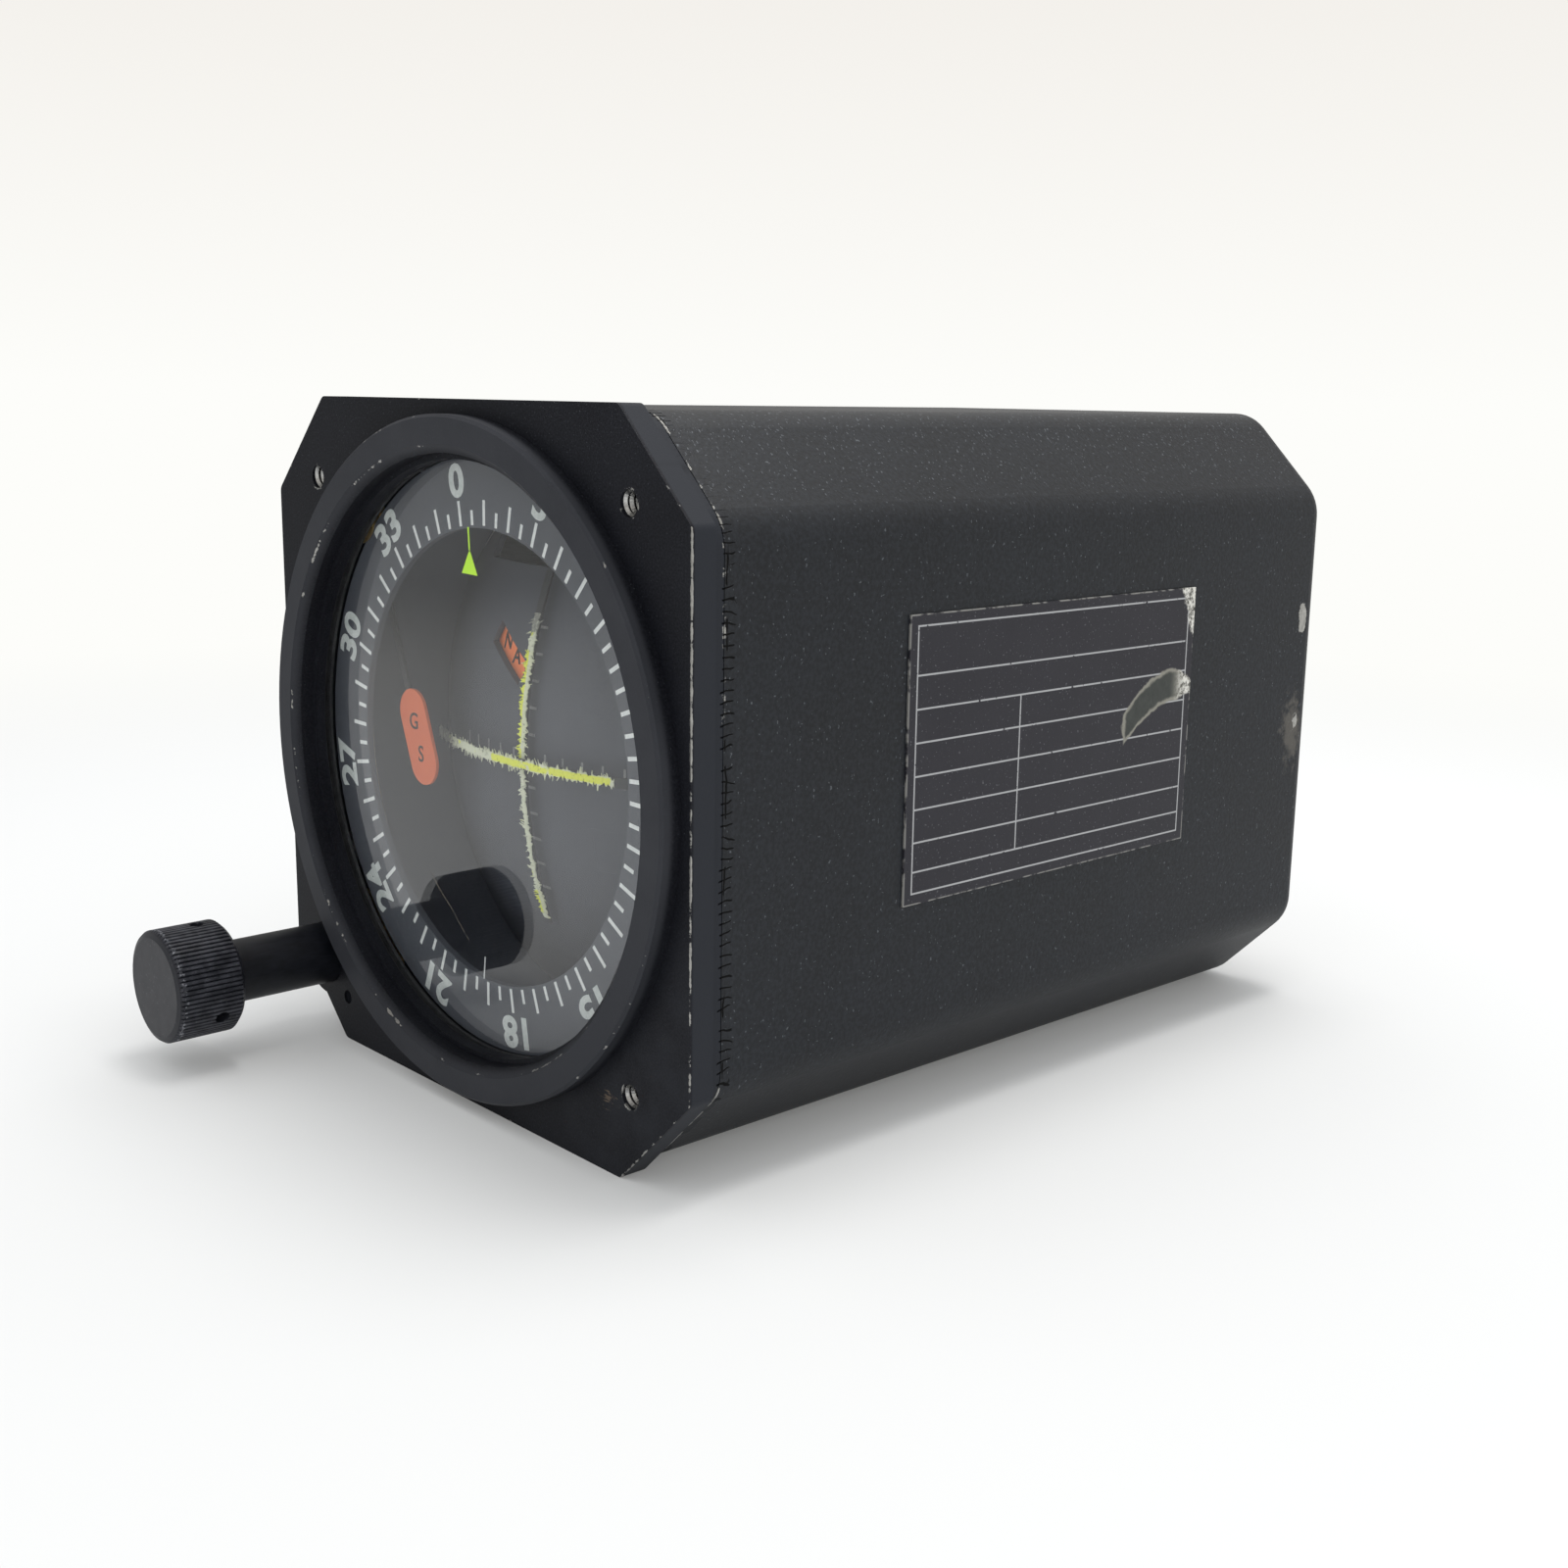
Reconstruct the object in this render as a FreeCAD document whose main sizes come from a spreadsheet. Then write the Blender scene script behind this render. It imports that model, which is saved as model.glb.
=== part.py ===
import FreeCAD, Part
import math
import os
import Sketcher

# Course deviation indicator for an aircraft panel, in millimetres.
# X is to the right as a pilot sees the dial, Y goes into the panel, and Z is up.
# The origin is where the dial's axis meets the front plane of the flange.

SIZES = [
    ("flange_width", 82.55, "side of the square flange"),
    ("flange_thickness", 3.175, "flange plate"),
    ("flange_cut", 11.63, "leg of the 45 degree cut at three corners"),
    ("knob_corner_cut", 12.06, "leg of the cut at the knob's corner"),
    ("flange_corner_radius", 1.2, "rounding of the flange's upright corners"),
    ("hole_inset", 9.84, "panel screw holes, in from the flange's sides"),
    ("hole_radius", 1.4, "tapped hole for a panel screw"),
    ("bezel_inset", 1.595, "raised ring that enters the panel, in from the flange's sides"),
    ("bezel_height", 2.5, "raised ring in front of the flange"),
    ("bezel_wall", 4.28, "raised ring, in from its outside"),
    ("bezel_bevel", 1.0, "inner bevel of the raised ring"),
    ("bezel_edge", 0.35, "small outer bevel of the raised ring"),
    ("lip_width", 0.7, "lip in front of the glass, in from the raised ring"),
    ("lip_front", 0.1, "depth of the lip's front face"),
    ("lip_thickness", 1.4, "lip in front of the glass"),
    ("window_recess", 0.9, "bore behind the lip, out from the raised ring's inside"),
    ("window_clearance", 0.1, "between the window pieces and their bore"),
    ("gasket_thickness", 0.2, "rubber between lip and glass"),
    ("gasket_width", 1.3, "radial width of the rubber"),
    ("glass_thickness", 1.6, "window glass"),
    ("clip_thickness", 0.4, "ring that holds the glass"),
    ("clip_width", 1.3, "radial width of that ring"),
    ("collar_wall", 1.0, "collar round the glass behind the flange"),
    ("boss_gap", 0.15, "between the knob shaft's boss and the gears behind it"),
    ("spigot_height", 3.75, "rim that enters the case"),
    ("spigot_wall", 1.2, "rim that enters the case"),
    ("spigot_clearance", 0.1, "between rim and case"),
    ("case_step", 0.675, "from the flange's side in to the case's side"),
    ("case_cut", 11.2, "leg of the case's 45 degree corners"),
    ("case_wall", 1.0, "case sheet"),
    ("case_round", 6.0, "rounding where side and corner face meet"),
    ("rear_room", 12.8, "from the last circuit board to the case's rear face"),
    ("case_gap", 0.05, "seam between flange and case"),
    ("rear_round", 2.5, "rounding of the rear edge"),
    ("rear_frame", 9.6, "rear wall round its opening"),
    ("rear_opening_cut", 6.0, "corner leg of that opening"),
    ("rear_plate_thickness", 2.0, "plate inside the rear wall"),
    ("rear_plate_margin", 2.7, "from the case's outside to the edge of the rear plate"),
    ("plate_margin", 1.4, "from the case's outside to the edge of an inner plate"),
    ("plate_thickness", 1.5, "inner plates"),
    ("mechanism_depth", 21.5, "front face of the first inner plate"),
    ("gear_room", 3.0, "from the first inner plate to the second"),
    ("movement_depth", 80.0, "front face of the third inner plate"),
    ("board_gap", 6.5, "from the third inner plate to the first circuit board"),
    ("board_pitch", 11.0, "from one circuit board to the next"),
    ("board_thickness", 1.6, "circuit board"),
    ("pillar_radius", 2.5, "pillars between the plates"),
    ("pillar_inset", 6.1, "pillars, in from the nearer side of the case"),
    ("pillar_shift", 7.5, "pillars, further in from the other side of the case"),
    ("low_pillar_inset", 4.9, "pillar near the knob, in from the side of the case"),
    ("low_pillar_gap", 0.18, "between the pillar near the knob and the window's collar"),
    ("stud_radius", 1.2, "front end of a pillar, in the flange"),
    ("screw_radius", 1.4, "rear screws"),
    ("screw_head_radius", 2.3, "rear screw heads"),
    ("screw_head_height", 1.5, "rear screw heads"),
    ("screw_slot", 0.6, "slot in a screw head, across and deep"),
    ("screw_reach", 5.5, "rear screws, into the pillars"),
    ("screw_end_gap", 0.5, "from the end of a screw to the bottom of its hole"),
    ("screw_clearance", 0.1, "between rear screws and their holes"),
    ("knob_inset_x", 6.7, "knob axis, in from the case's left side"),
    ("knob_inset_z", 9.9, "knob axis, up from the case's underside"),
    ("knob_radius", 7.13, "knob over its knurls"),
    ("knob_length", 8.8, "knob"),
    ("knob_front", -23.6, "depth of the knob's front face"),
    ("knob_chamfer", 0.55, "edges of the knob"),
    ("knurl_count", 74, "grooves round the knob"),
    ("knurl_depth", 0.25, "grooves round the knob"),
    ("set_screw_radius", 0.9, "screws that hold the knob"),
    ("set_screw_length", 2.2, "screws that hold the knob"),
    ("set_screw_inset", 3.0, "screws that hold the knob, in from its rear face"),
    ("set_screw_socket", 0.5, "socket in such a screw, across its corners from the middle"),
    ("set_screw_socket_depth", 1.0, "socket in such a screw"),
    ("shaft_radius", 4.0, "knob shaft in front of the flange"),
    ("shaft_end_radius", 3.0, "knob shaft inside the knob"),
    ("shaft_end_length", 6.2, "knob shaft inside the knob"),
    ("spindle_radius", 1.2, "knob shaft behind the flange"),
    ("running_clearance", 0.05, "radial, round every shaft that turns"),
    ("boss_radius", 5.6, "boss round the knob shaft"),
    ("corner_hole_across", 5.3, "small hole beside the boss, from the knob axis"),
    ("corner_hole_down", 4.9, "small hole beside the boss, below the knob axis"),
    ("corner_hole_radius", 0.9, "small hole beside the boss"),
    ("card_gap", 0.35, "between the window's clip and the compass card"),
    ("card_thickness", 0.8, "compass card"),
    ("card_rim", 1.625, "compass card outside its gear"),
    ("card_band", 8.1, "compass card, from its opening to its edge"),
    ("train_bend", 0.264, "pitch radii of the knob's gear train, added up, past the knob axis"),
    ("gear_width", 1.5, "card gear"),
    ("gear_clearance", 0.05, "between the compass card and the knob's gears"),
    ("gear_band", 3.5, "card gear, from its opening to its pitch circle"),
    ("card_teeth", 132, "card gear"),
    ("idler_teeth", 22, "idler gear"),
    ("shaft_teeth", 8, "pinion on the knob shaft"),
    ("pinion_teeth", 12, "pinion that drives the resolver"),
    ("resolver_teeth", 72, "resolver gear"),
    ("pressure_angle", 25.0, "of the teeth, in degrees"),
    ("tooth_top", 0.75, "tooth above the pitch circle, in modules"),
    ("tooth_bottom", 1.0, "tooth below the pitch circle, in modules"),
    ("tooth_play", 0.12, "taken off the width of each tooth"),
    ("idler_shaft_radius", 1.0, "idler shaft"),
    ("idler_gear_width", 1.3, "idler gear and knob pinion"),
    ("pinion_clearance", 0.8, "round the knob pinion, cut from the rim that enters the case"),
    ("pinion_gap", 0.6, "from the first inner plate to the resolver's pinion"),
    ("pinion_width", 2.0, "resolver's pinion"),
    ("resolver_gear_width", 1.6, "resolver gear"),
    ("roller_radius", 3.2, "groove of a card roller"),
    ("roller_flange", 3.7, "flanges of a card roller"),
    ("roller_front_flange", 0.25, "front flange of a card roller"),
    ("roller_rear_flange", 0.5, "rear flange of a card roller"),
    ("roller_pin_radius", 0.8, "card roller pins"),
    ("roller_pin_rim", 0.7, "head of a roller pin, past its shank"),
    ("roller_pin_head", 0.6, "head of a roller pin"),
    ("roller_pin_gap", 0.05, "between a roller and the head of its pin"),
    ("roller_gap", 0.05, "between card and roller groove"),
    ("blind_depth", 1.8, "blind holes in the flange plate, from its rear face"),
    ("foot_depth", 10.0, "from the needles' centre to the third inner plate"),
    ("movement_drop", 0.8, "of that point below the dial's axis"),
    ("mask_front", 10.0, "depth of the dial mask at its middle"),
    ("mask_thickness", 0.8, "dial mask"),
    ("mask_inset", 2.2, "edge of the dial mask, in from the raised ring's inside"),
    ("shield_gap", 1.0, "between dial mask and light shield"),
    ("shield_wall", 0.8, "light shield"),
    ("shield_front", 8.0, "depth of the light shield's front edge"),
    ("needle_width", 1.25, "both needles"),
    ("needle_thickness", 0.3, "both needles"),
    ("gs_needle_front", 8.0, "depth of the glideslope needle at its middle"),
    ("cdi_needle_front", 8.7, "depth of the course needle at its middle"),
    ("needle_inset", 9.6, "needle arms, in from the mask's edge"),
    ("needle_tail", 20.3, "from the centre to the course needle's free end"),
    ("gs_needle_tail", 24.0, "from the centre to the glideslope needle's free end"),
    ("needle_swing", 15.5, "either way, in degrees"),
    ("arm_thickness", 0.7, "needle arms"),
    ("slot_margin", 1.0, "round a needle arm in the mask and plates"),
    ("staff_radius", 0.75, "staffs of needles and flags"),
    ("staff_depth", 6.8, "needle staffs, inside their movements"),
    ("staff_end_gap", 0.5, "from the end of a staff to the bottom of its bore"),
    ("needle_hub_radius", 2.0, "hubs on the needle staffs"),
    ("needle_hub_rim", 0.3, "hub on either side of its arm"),
    ("needle_rest_offset", 0.6, "course needle right of the centre"),
    ("meter_radius", 9.0, "needle movements"),
    ("meter_length", 11.0, "needle movements"),
    ("meter_gap", 1.2, "from a needle arm to its movement"),
    ("meter_boss_radius", 4.0, "front boss of a needle movement"),
    ("meter_boss_height", 1.0, "front boss of a needle movement"),
    ("meter_foot", 10.0, "side of the foot under a needle movement"),
    ("small_meter_radius", 5.0, "flag movements"),
    ("small_meter_length", 7.0, "flag movements"),
    ("small_meter_bottom", 1.5, "flag movements behind their bores"),
    ("nav_window_x", -6.1, "course flag window, sideways"),
    ("nav_window_z", 11.35, "course flag window, up"),
    ("nav_window_length", 8.9, "course flag window"),
    ("nav_window_width", 3.1, "course flag window"),
    ("nav_window_tilt", 30.0, "course flag window, degrees down to the right"),
    ("vane_gap", 0.2, "between the mask and the vane behind it"),
    ("vane_thickness", 0.4, "flag vanes"),
    ("nav_vane_radius", 19.5, "course flag vane"),
    ("nav_hub_radius", 2.4, "hub of the course flag"),
    ("nav_vane_angle", 52.0, "orange sector and black sector, degrees each"),
    ("nav_vane_start", 88.0, "first edge of the orange sector, in degrees"),
    ("gs_pivot_inset_x", 11.0, "glideslope flag's pivot, in from the case's left side"),
    ("gs_pivot_inset_z", 14.84, "glideslope flag's pivot, down from the case's top"),
    ("gs_flag_depth", 7.0, "front face of the glideslope flag"),
    ("gs_flag_width", 5.9, "glideslope flag"),
    ("gs_flag_length", 12.3, "glideslope flag"),
    ("gs_flag_tilt", 20.6, "glideslope flag, degrees to the left of upright"),
    ("gs_flag_arm", 28.0, "from the flag's centre to its pivot"),
    ("gs_hub_radius", 1.6, "hub of the glideslope flag"),
    ("gs_hub_length", 1.4, "hub of the glideslope flag"),
    ("vane_arm_width", 1.0, "arms of flags and vanes"),
    ("to_window_x", 12.5, "direction window, sideways"),
    ("to_window_z", -10.0, "direction window, up"),
    ("to_window_width", 3.6, "direction window"),
    ("to_window_height", 5.0, "direction window"),
    ("to_pivot_inset", 8.2, "direction vane's pivot, in from the mask's edge"),
    ("to_vane_width", 4.8, "direction vane"),
    ("to_vane_gap", 0.48, "between the mask and the direction vane's corners"),
    ("to_vane_margin", 0.5, "direction vane above and below its window"),
    ("to_arm_thickness", 0.6, "arm of the direction vane"),
    ("to_hub_radius", 1.4, "hub of the direction vane"),
    ("to_hub_length", 0.8, "hub of the direction vane"),
    ("to_hub_gap", 0.2, "between that hub and the first inner plate"),
    ("resolver_angle", 45.0, "direction from idler to resolver, in degrees"),
    ("resolver_radius", 9.5, "resolver body"),
    ("resolver_length", 28.0, "resolver body"),
    ("resolver_bottom", 2.5, "resolver body behind its bore"),
    ("rotor_radius", 1.5, "resolver shaft"),
    ("rotor_gap", 0.4, "from the first inner plate to the resolver shaft"),
    ("connector_width", 53.0, "rear connector flange"),
    ("connector_height", 12.5, "rear connector flange"),
    ("connector_flange", 1.0, "rear connector flange's thickness"),
    ("connector_z", -6.0, "rear connector, up"),
    ("shell_width", 38.4, "rear connector shell"),
    ("shell_height", 8.0, "rear connector shell"),
    ("shell_length", 5.8, "rear connector shell behind its flange"),
    ("shell_wall", 0.5, "rear connector shell"),
    ("shell_taper", 1.4, "inset of the shell's short side at each end"),
    ("shell_round", 1.6, "corners of the connector flange"),
    ("insert_recess", 1.0, "contact insert, from the shell's foot to its face"),
    ("insert_tail", 2.0, "from the last circuit board to the contact insert"),
    ("pin_columns", 13, "contacts in the longer row"),
    ("pin_end", 2.58, "last contact, in from the shell's side"),
    ("pin_row", 1.42, "contact rows, off the connector's middle line"),
    ("pin_radius", 0.5, "contacts"),
    ("pin_length", 4.2, "contacts"),
    ("jack_pitch", 47.04, "spacing of the connector's jack sockets"),
    ("jack_width", 4.76, "jack socket across its flats"),
    ("jack_length", 5.0, "jack socket"),
    ("jack_hole_radius", 1.2, "tapped hole in a jack socket"),
    ("jack_hole_depth", 4.0, "tapped hole in a jack socket"),
    ("data_plate_front", 31.4, "depth of the data plate's front edge"),
    ("data_plate_length", 52.6, "data plate"),
    ("data_plate_height", 33.0, "data plate"),
    ("data_plate_z", 2.5, "middle of the data plate, up"),
    ("data_plate_thickness", 0.25, "data plate"),
]

# Sizes that follow from the ones above
FOLLOWING = {
    "collar_rear": "lip_front + lip_thickness + gasket_thickness + glass_thickness + clip_thickness",
    "card_depth": "collar_rear + card_gap",
    "card_rear": "card_depth + card_thickness",
    "gear_front": "card_rear + gear_clearance",
    "shoulder_rear": "gear_front - boss_gap",
    "hole_pitch": "flange_width - 2 * hole_inset",
    "bezel_radius": "flange_width / 2 - bezel_inset",
    "bezel_opening": "bezel_radius - bezel_wall",
    "lip_opening": "bezel_opening - lip_width",
    "window_bore": "bezel_opening + window_recess",
    "case_width": "flange_width - 2 * case_step",
    "movement_centre": "movement_depth - foot_depth",
    "board_depth": "movement_depth + plate_thickness + board_gap",
    "case_rear": "board_depth + board_pitch + board_thickness + rear_room",
    "rear_opening": "case_width - 2 * rear_frame",
    "resolver_depth": "mechanism_depth + plate_thickness + gear_room",
    "pillar_far": "case_width / 2 - pillar_inset",
    "pillar_near": "case_width / 2 - pillar_inset - pillar_shift",
    "low_pillar_x": "low_pillar_inset - case_width / 2",
    "low_pillar_reach": "window_bore + collar_wall + pillar_radius + low_pillar_gap",
    "low_pillar_z": "-sqrt(low_pillar_reach^2 - low_pillar_x^2)",
    "knob_x": "knob_inset_x - case_width / 2",
    "knob_z": "knob_inset_z - case_width / 2",
    "knob_reach": "sqrt(knob_x^2 + knob_z^2)",
    "corner_hole_x": "knob_x + corner_hole_across",
    "corner_hole_z": "knob_z - corner_hole_down",
    "gear_module": "2 * (knob_reach + train_bend) / (card_teeth + 2 * idler_teeth + shaft_teeth)",
    "gear_opening": "card_teeth * gear_module / 2 - gear_band",
    "card_radius": "(card_teeth / 2 + tooth_top) * gear_module + card_rim",
    "card_opening": "card_radius - card_band",
    "mask_edge": "bezel_opening - mask_inset",
    "shield_opening": "mask_edge + shield_gap",
    "needle_reach": "mask_edge - needle_inset",
    "gs_pivot_x": "gs_pivot_inset_x - case_width / 2",
    "gs_pivot_z": "case_width / 2 - gs_pivot_inset_z",
    "to_pivot_z": "to_pivot_inset - mask_edge",
    "pin_pitch": "(shell_width - 2 * pin_end) / (pin_columns - 1)",
    "mask_radius": "movement_centre - mask_front",
    "gs_needle_radius": "movement_centre - gs_needle_front",
    "cdi_needle_radius": "movement_centre - cdi_needle_front",
}

document = FreeCAD.newDocument("navigation_indicator")
sheet = document.addObject("Spreadsheet::Sheet", "Sizes")
for row, (alias, number, meaning) in enumerate(SIZES, start=1):
    sheet.set(f"A{row}", meaning)
    sheet.set(f"B{row}", str(number))
    sheet.setAlias(f"B{row}", alias)
document.recompute()

nodes = []


def size(expression):
    """The number that an expression on the sheet's aliases gives."""
    return float(sheet.evalExpression(bound(expression)))


def bound(expression):
    """The expression with each alias written as the sheet's own cell."""
    words = []
    word = ""
    for letter in expression + " ":
        if letter.isalnum() or letter == "_":
            word += letter
            continue
        if word in FOLLOWING:
            words.append("(" + bound(FOLLOWING[word]) + ")")
        else:
            words.append("Sizes." + word if word in ALIASES else word)
        words.append(letter)
        word = ""
    return "".join(words).strip()


ALIASES = {alias for alias, number, meaning in SIZES}


def keep(feature, label):
    """Names a finished sub-part and lists it for export."""
    feature.Label = label
    nodes.append(feature)
    return feature


def vector(x, y, z):
    return FreeCAD.Vector(x, y, z)


# Sketches, pads and turned bodies


def new_sketch(body, role, depth="0"):
    """A sketch on one of the body's own planes, moved to a depth along Y if it is the upright plane."""
    sketch = body.newObject("Sketcher::SketchObject", "Sketch")
    plane = [item for item in body.Origin.OriginFeatures if item.Role == role][0]
    sketch.AttachmentSupport = [(plane, "")]
    sketch.MapMode = "FlatFace"
    if depth != "0":
        sketch.setExpression("AttachmentOffset.Base.z", bound(f"-({depth})"))
    return sketch


def pin_point(sketch, geometry, end, across, up):
    """Ties one point of the sketch to a pair of expressions."""
    for kind, expression in (("DistanceX", across), ("DistanceY", up)):
        constraint = Sketcher.Constraint(kind, -1, 1, geometry, end, size(expression))
        index = sketch.addConstraint(constraint)
        sketch.setExpression(f"Constraints[{index}]", bound(expression))


def draw_outline(sketch, corners):
    """A closed outline of straight lines through corners, each a pair of expressions."""
    first = sketch.GeometryCount
    count = len(corners)
    points = [vector(size(across), size(up), 0) for across, up in corners]
    for index in range(count):
        line = Part.LineSegment(points[index], points[(index + 1) % count])
        sketch.addGeometry(line, False)
    for index in range(count):
        following = first + (index + 1) % count
        sketch.addConstraint(Sketcher.Constraint("Coincident", first + index, 2, following, 1))
    for index, (across, up) in enumerate(corners):
        pin_point(sketch, first + index, 1, across, up)


def draw_circle(sketch, across, up, radius):
    """A circle whose centre and radius are expressions."""
    centre = vector(size(across), size(up), 0)
    circle = Part.Circle(centre, vector(0, 0, 1), size(radius))
    index = sketch.addGeometry(circle, False)
    pin_point(sketch, index, 3, across, up)
    constraint = sketch.addConstraint(Sketcher.Constraint("Radius", index, size(radius)))
    sketch.setExpression(f"Constraints[{constraint}]", bound(radius))


def add_pad(body, sketch, length):
    """Adds the sketch's area, going back into the panel."""
    pad = body.newObject("PartDesign::Pad", "Pad")
    pad.Profile = sketch
    pad.Reversed = True
    pad.setExpression("Length", bound(length))
    document.recompute()
    return pad


def add_pocket(body, sketch, length):
    """Cuts the sketch's area, going back into the panel."""
    before = body.Shape.Volume
    pocket = body.newObject("PartDesign::Pocket", "Pocket")
    pocket.Profile = sketch
    pocket.Reversed = False
    pocket.setExpression("Length", bound(length))
    document.recompute()
    if body.Shape.Volume > before - 1e-3:
        raise RuntimeError(f"a pocket in {body.Label} cuts nothing")
    return pocket


def add_turning(body, corners, kind="PartDesign::Revolution"):
    """Adds or cuts a profile turned about the body's Y axis; corners are radius and depth."""
    sketch = new_sketch(body, "XY_Plane")
    draw_outline(sketch, corners)
    turning = body.newObject(kind, "Turning")
    turning.Profile = sketch
    turning.ReferenceAxis = (sketch, ["V_Axis"])
    turning.Angle = 360
    document.recompute()
    return turning


def turned(label, corners, centre=("0", "0")):
    """A turned sub-part whose axis runs along Y through a centre in X and Z."""
    body = document.addObject("PartDesign::Body", "Body")
    add_turning(body, corners)
    body.setExpression("Placement.Base.x", bound(centre[0]))
    body.setExpression("Placement.Base.z", bound(centre[1]))
    return keep(body, label)


def octagon(width, cut, inset="0"):
    """Corners of a square with 45 degree corners, moved inwards by an inset."""
    half = f"({width} / 2 - ({inset}))"
    near = f"({half} - ({cut}) + (2 - sqrt(2)) * ({inset}))"
    pairs = []
    for turn in range(4):
        for across, up in ((half, "-" + near), (half, near)):
            pairs.append(turn_pair(across, up, turn))
    return pairs


def turn_pair(across, up, turn):
    """A pair of expressions turned about the origin by quarter turns."""
    for _ in range(turn):
        across, up = f"-({up})", across
    return across, up


def edges_along_y(shape):
    """Names of the straight edges that run from front to back."""
    names = []
    for index, edge in enumerate(shape.Edges, start=1):
        start, end = edge.Vertexes[0].Point, edge.Vertexes[-1].Point
        if abs(start.x - end.x) < 1e-6 and abs(start.z - end.z) < 1e-6:
            names.append(f"Edge{index}")
    return names


def outer_edges(shape, rear):
    """The eight edges along Y that end at a depth and stand furthest from the middle."""
    reached = []
    for name in edges_along_y(shape):
        vertexes = shape.getElement(name).Vertexes
        if abs(max(vertex.Point.y for vertex in vertexes) - size(rear)) < 1e-6:
            point = vertexes[0].Point
            reached.append((math.hypot(point.x, point.z), name))
    return [name for distance, name in sorted(reached)[-8:]]


def add_fillet(body, feature, names, radius):
    fillet = body.newObject("PartDesign::Fillet", "Fillet")
    fillet.Base = (feature, names)
    fillet.setExpression("Radius", bound(radius))
    document.recompute()
    return fillet


# Solids made with Part's own functions, from the same sizes


def free_part(label, shape):
    """A sub-part whose shape is worked out in code from the sheet."""
    feature = document.addObject("Part::Feature", "Solid")
    feature.Shape = shape
    return keep(feature, label)


def rod(radius, front, rear, x=0.0, z=0.0):
    """A round rod along Y."""
    return Part.makeCylinder(radius, rear - front, vector(x, front, z), vector(0, 1, 0))


def block(x_pair, y_pair, z_pair):
    """A box between pairs of limits."""
    spans = [pair[1] - pair[0] for pair in (x_pair, y_pair, z_pair)]
    return Part.makeBox(*spans, vector(x_pair[0], y_pair[0], z_pair[0]))


def plate_from(points, front, rear):
    """A flat plate with an outline of X and Z points."""
    corners = [vector(x, front, z) for x, z in points]
    face = Part.Face(Part.makePolygon(corners + corners[:1]))
    return face.extrude(vector(0, rear - front, 0))


def turned_about(point, direction, shape, degrees):
    """A copy of the shape turned about a line."""
    copy = shape.copy()
    copy.rotate(point, direction, degrees)
    return copy


# Front flange with its raised ring, lip, boss and the rim that enters the case

hole_places = [("hole_pitch / 2", "hole_pitch / 2"), ("-hole_pitch / 2", "hole_pitch / 2"),
               ("hole_pitch / 2", "-hole_pitch / 2")]
roller_distance = "(card_radius + roller_gap + roller_radius)"
roller_places = [
    (f"{roller_distance} * cos({angle})", f"{roller_distance} * sin({angle})")
    for angle in (45, 135, 315)
]
pillar_places = [("pillar_near", "pillar_far"), ("-pillar_near", "pillar_far"),
                 ("pillar_far", "-pillar_near"), ("low_pillar_x", "low_pillar_z")]
idler_distance = "((card_teeth + idler_teeth) * gear_module / 2)"
idler_to_knob = "((idler_teeth + shaft_teeth) * gear_module / 2)"


def idler_place():
    """Centre of the idler, in mesh with the card gear and with the knob's pinion."""
    reach = size("knob_reach")
    near, far = size(idler_distance), size(idler_to_knob)
    offset = math.acos((near**2 + reach**2 - far**2) / (2 * near * reach))
    angle = math.atan2(size("knob_z"), size("knob_x")) + offset
    return near * math.cos(angle), near * math.sin(angle)


def idler_expressions():
    """The same centre as a pair of expressions."""
    reach = "knob_reach"
    cosine = f"(({idler_distance}^2 + {reach}^2 - {idler_to_knob}^2) / (2 * {idler_distance} * {reach}))"
    sine = f"sqrt(1 - {cosine}^2)"
    across = f"{idler_distance} / {reach} * (knob_x * {cosine} - knob_z * {sine})"
    up = f"{idler_distance} / {reach} * (knob_z * {cosine} + knob_x * {sine})"
    return across, up


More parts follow.
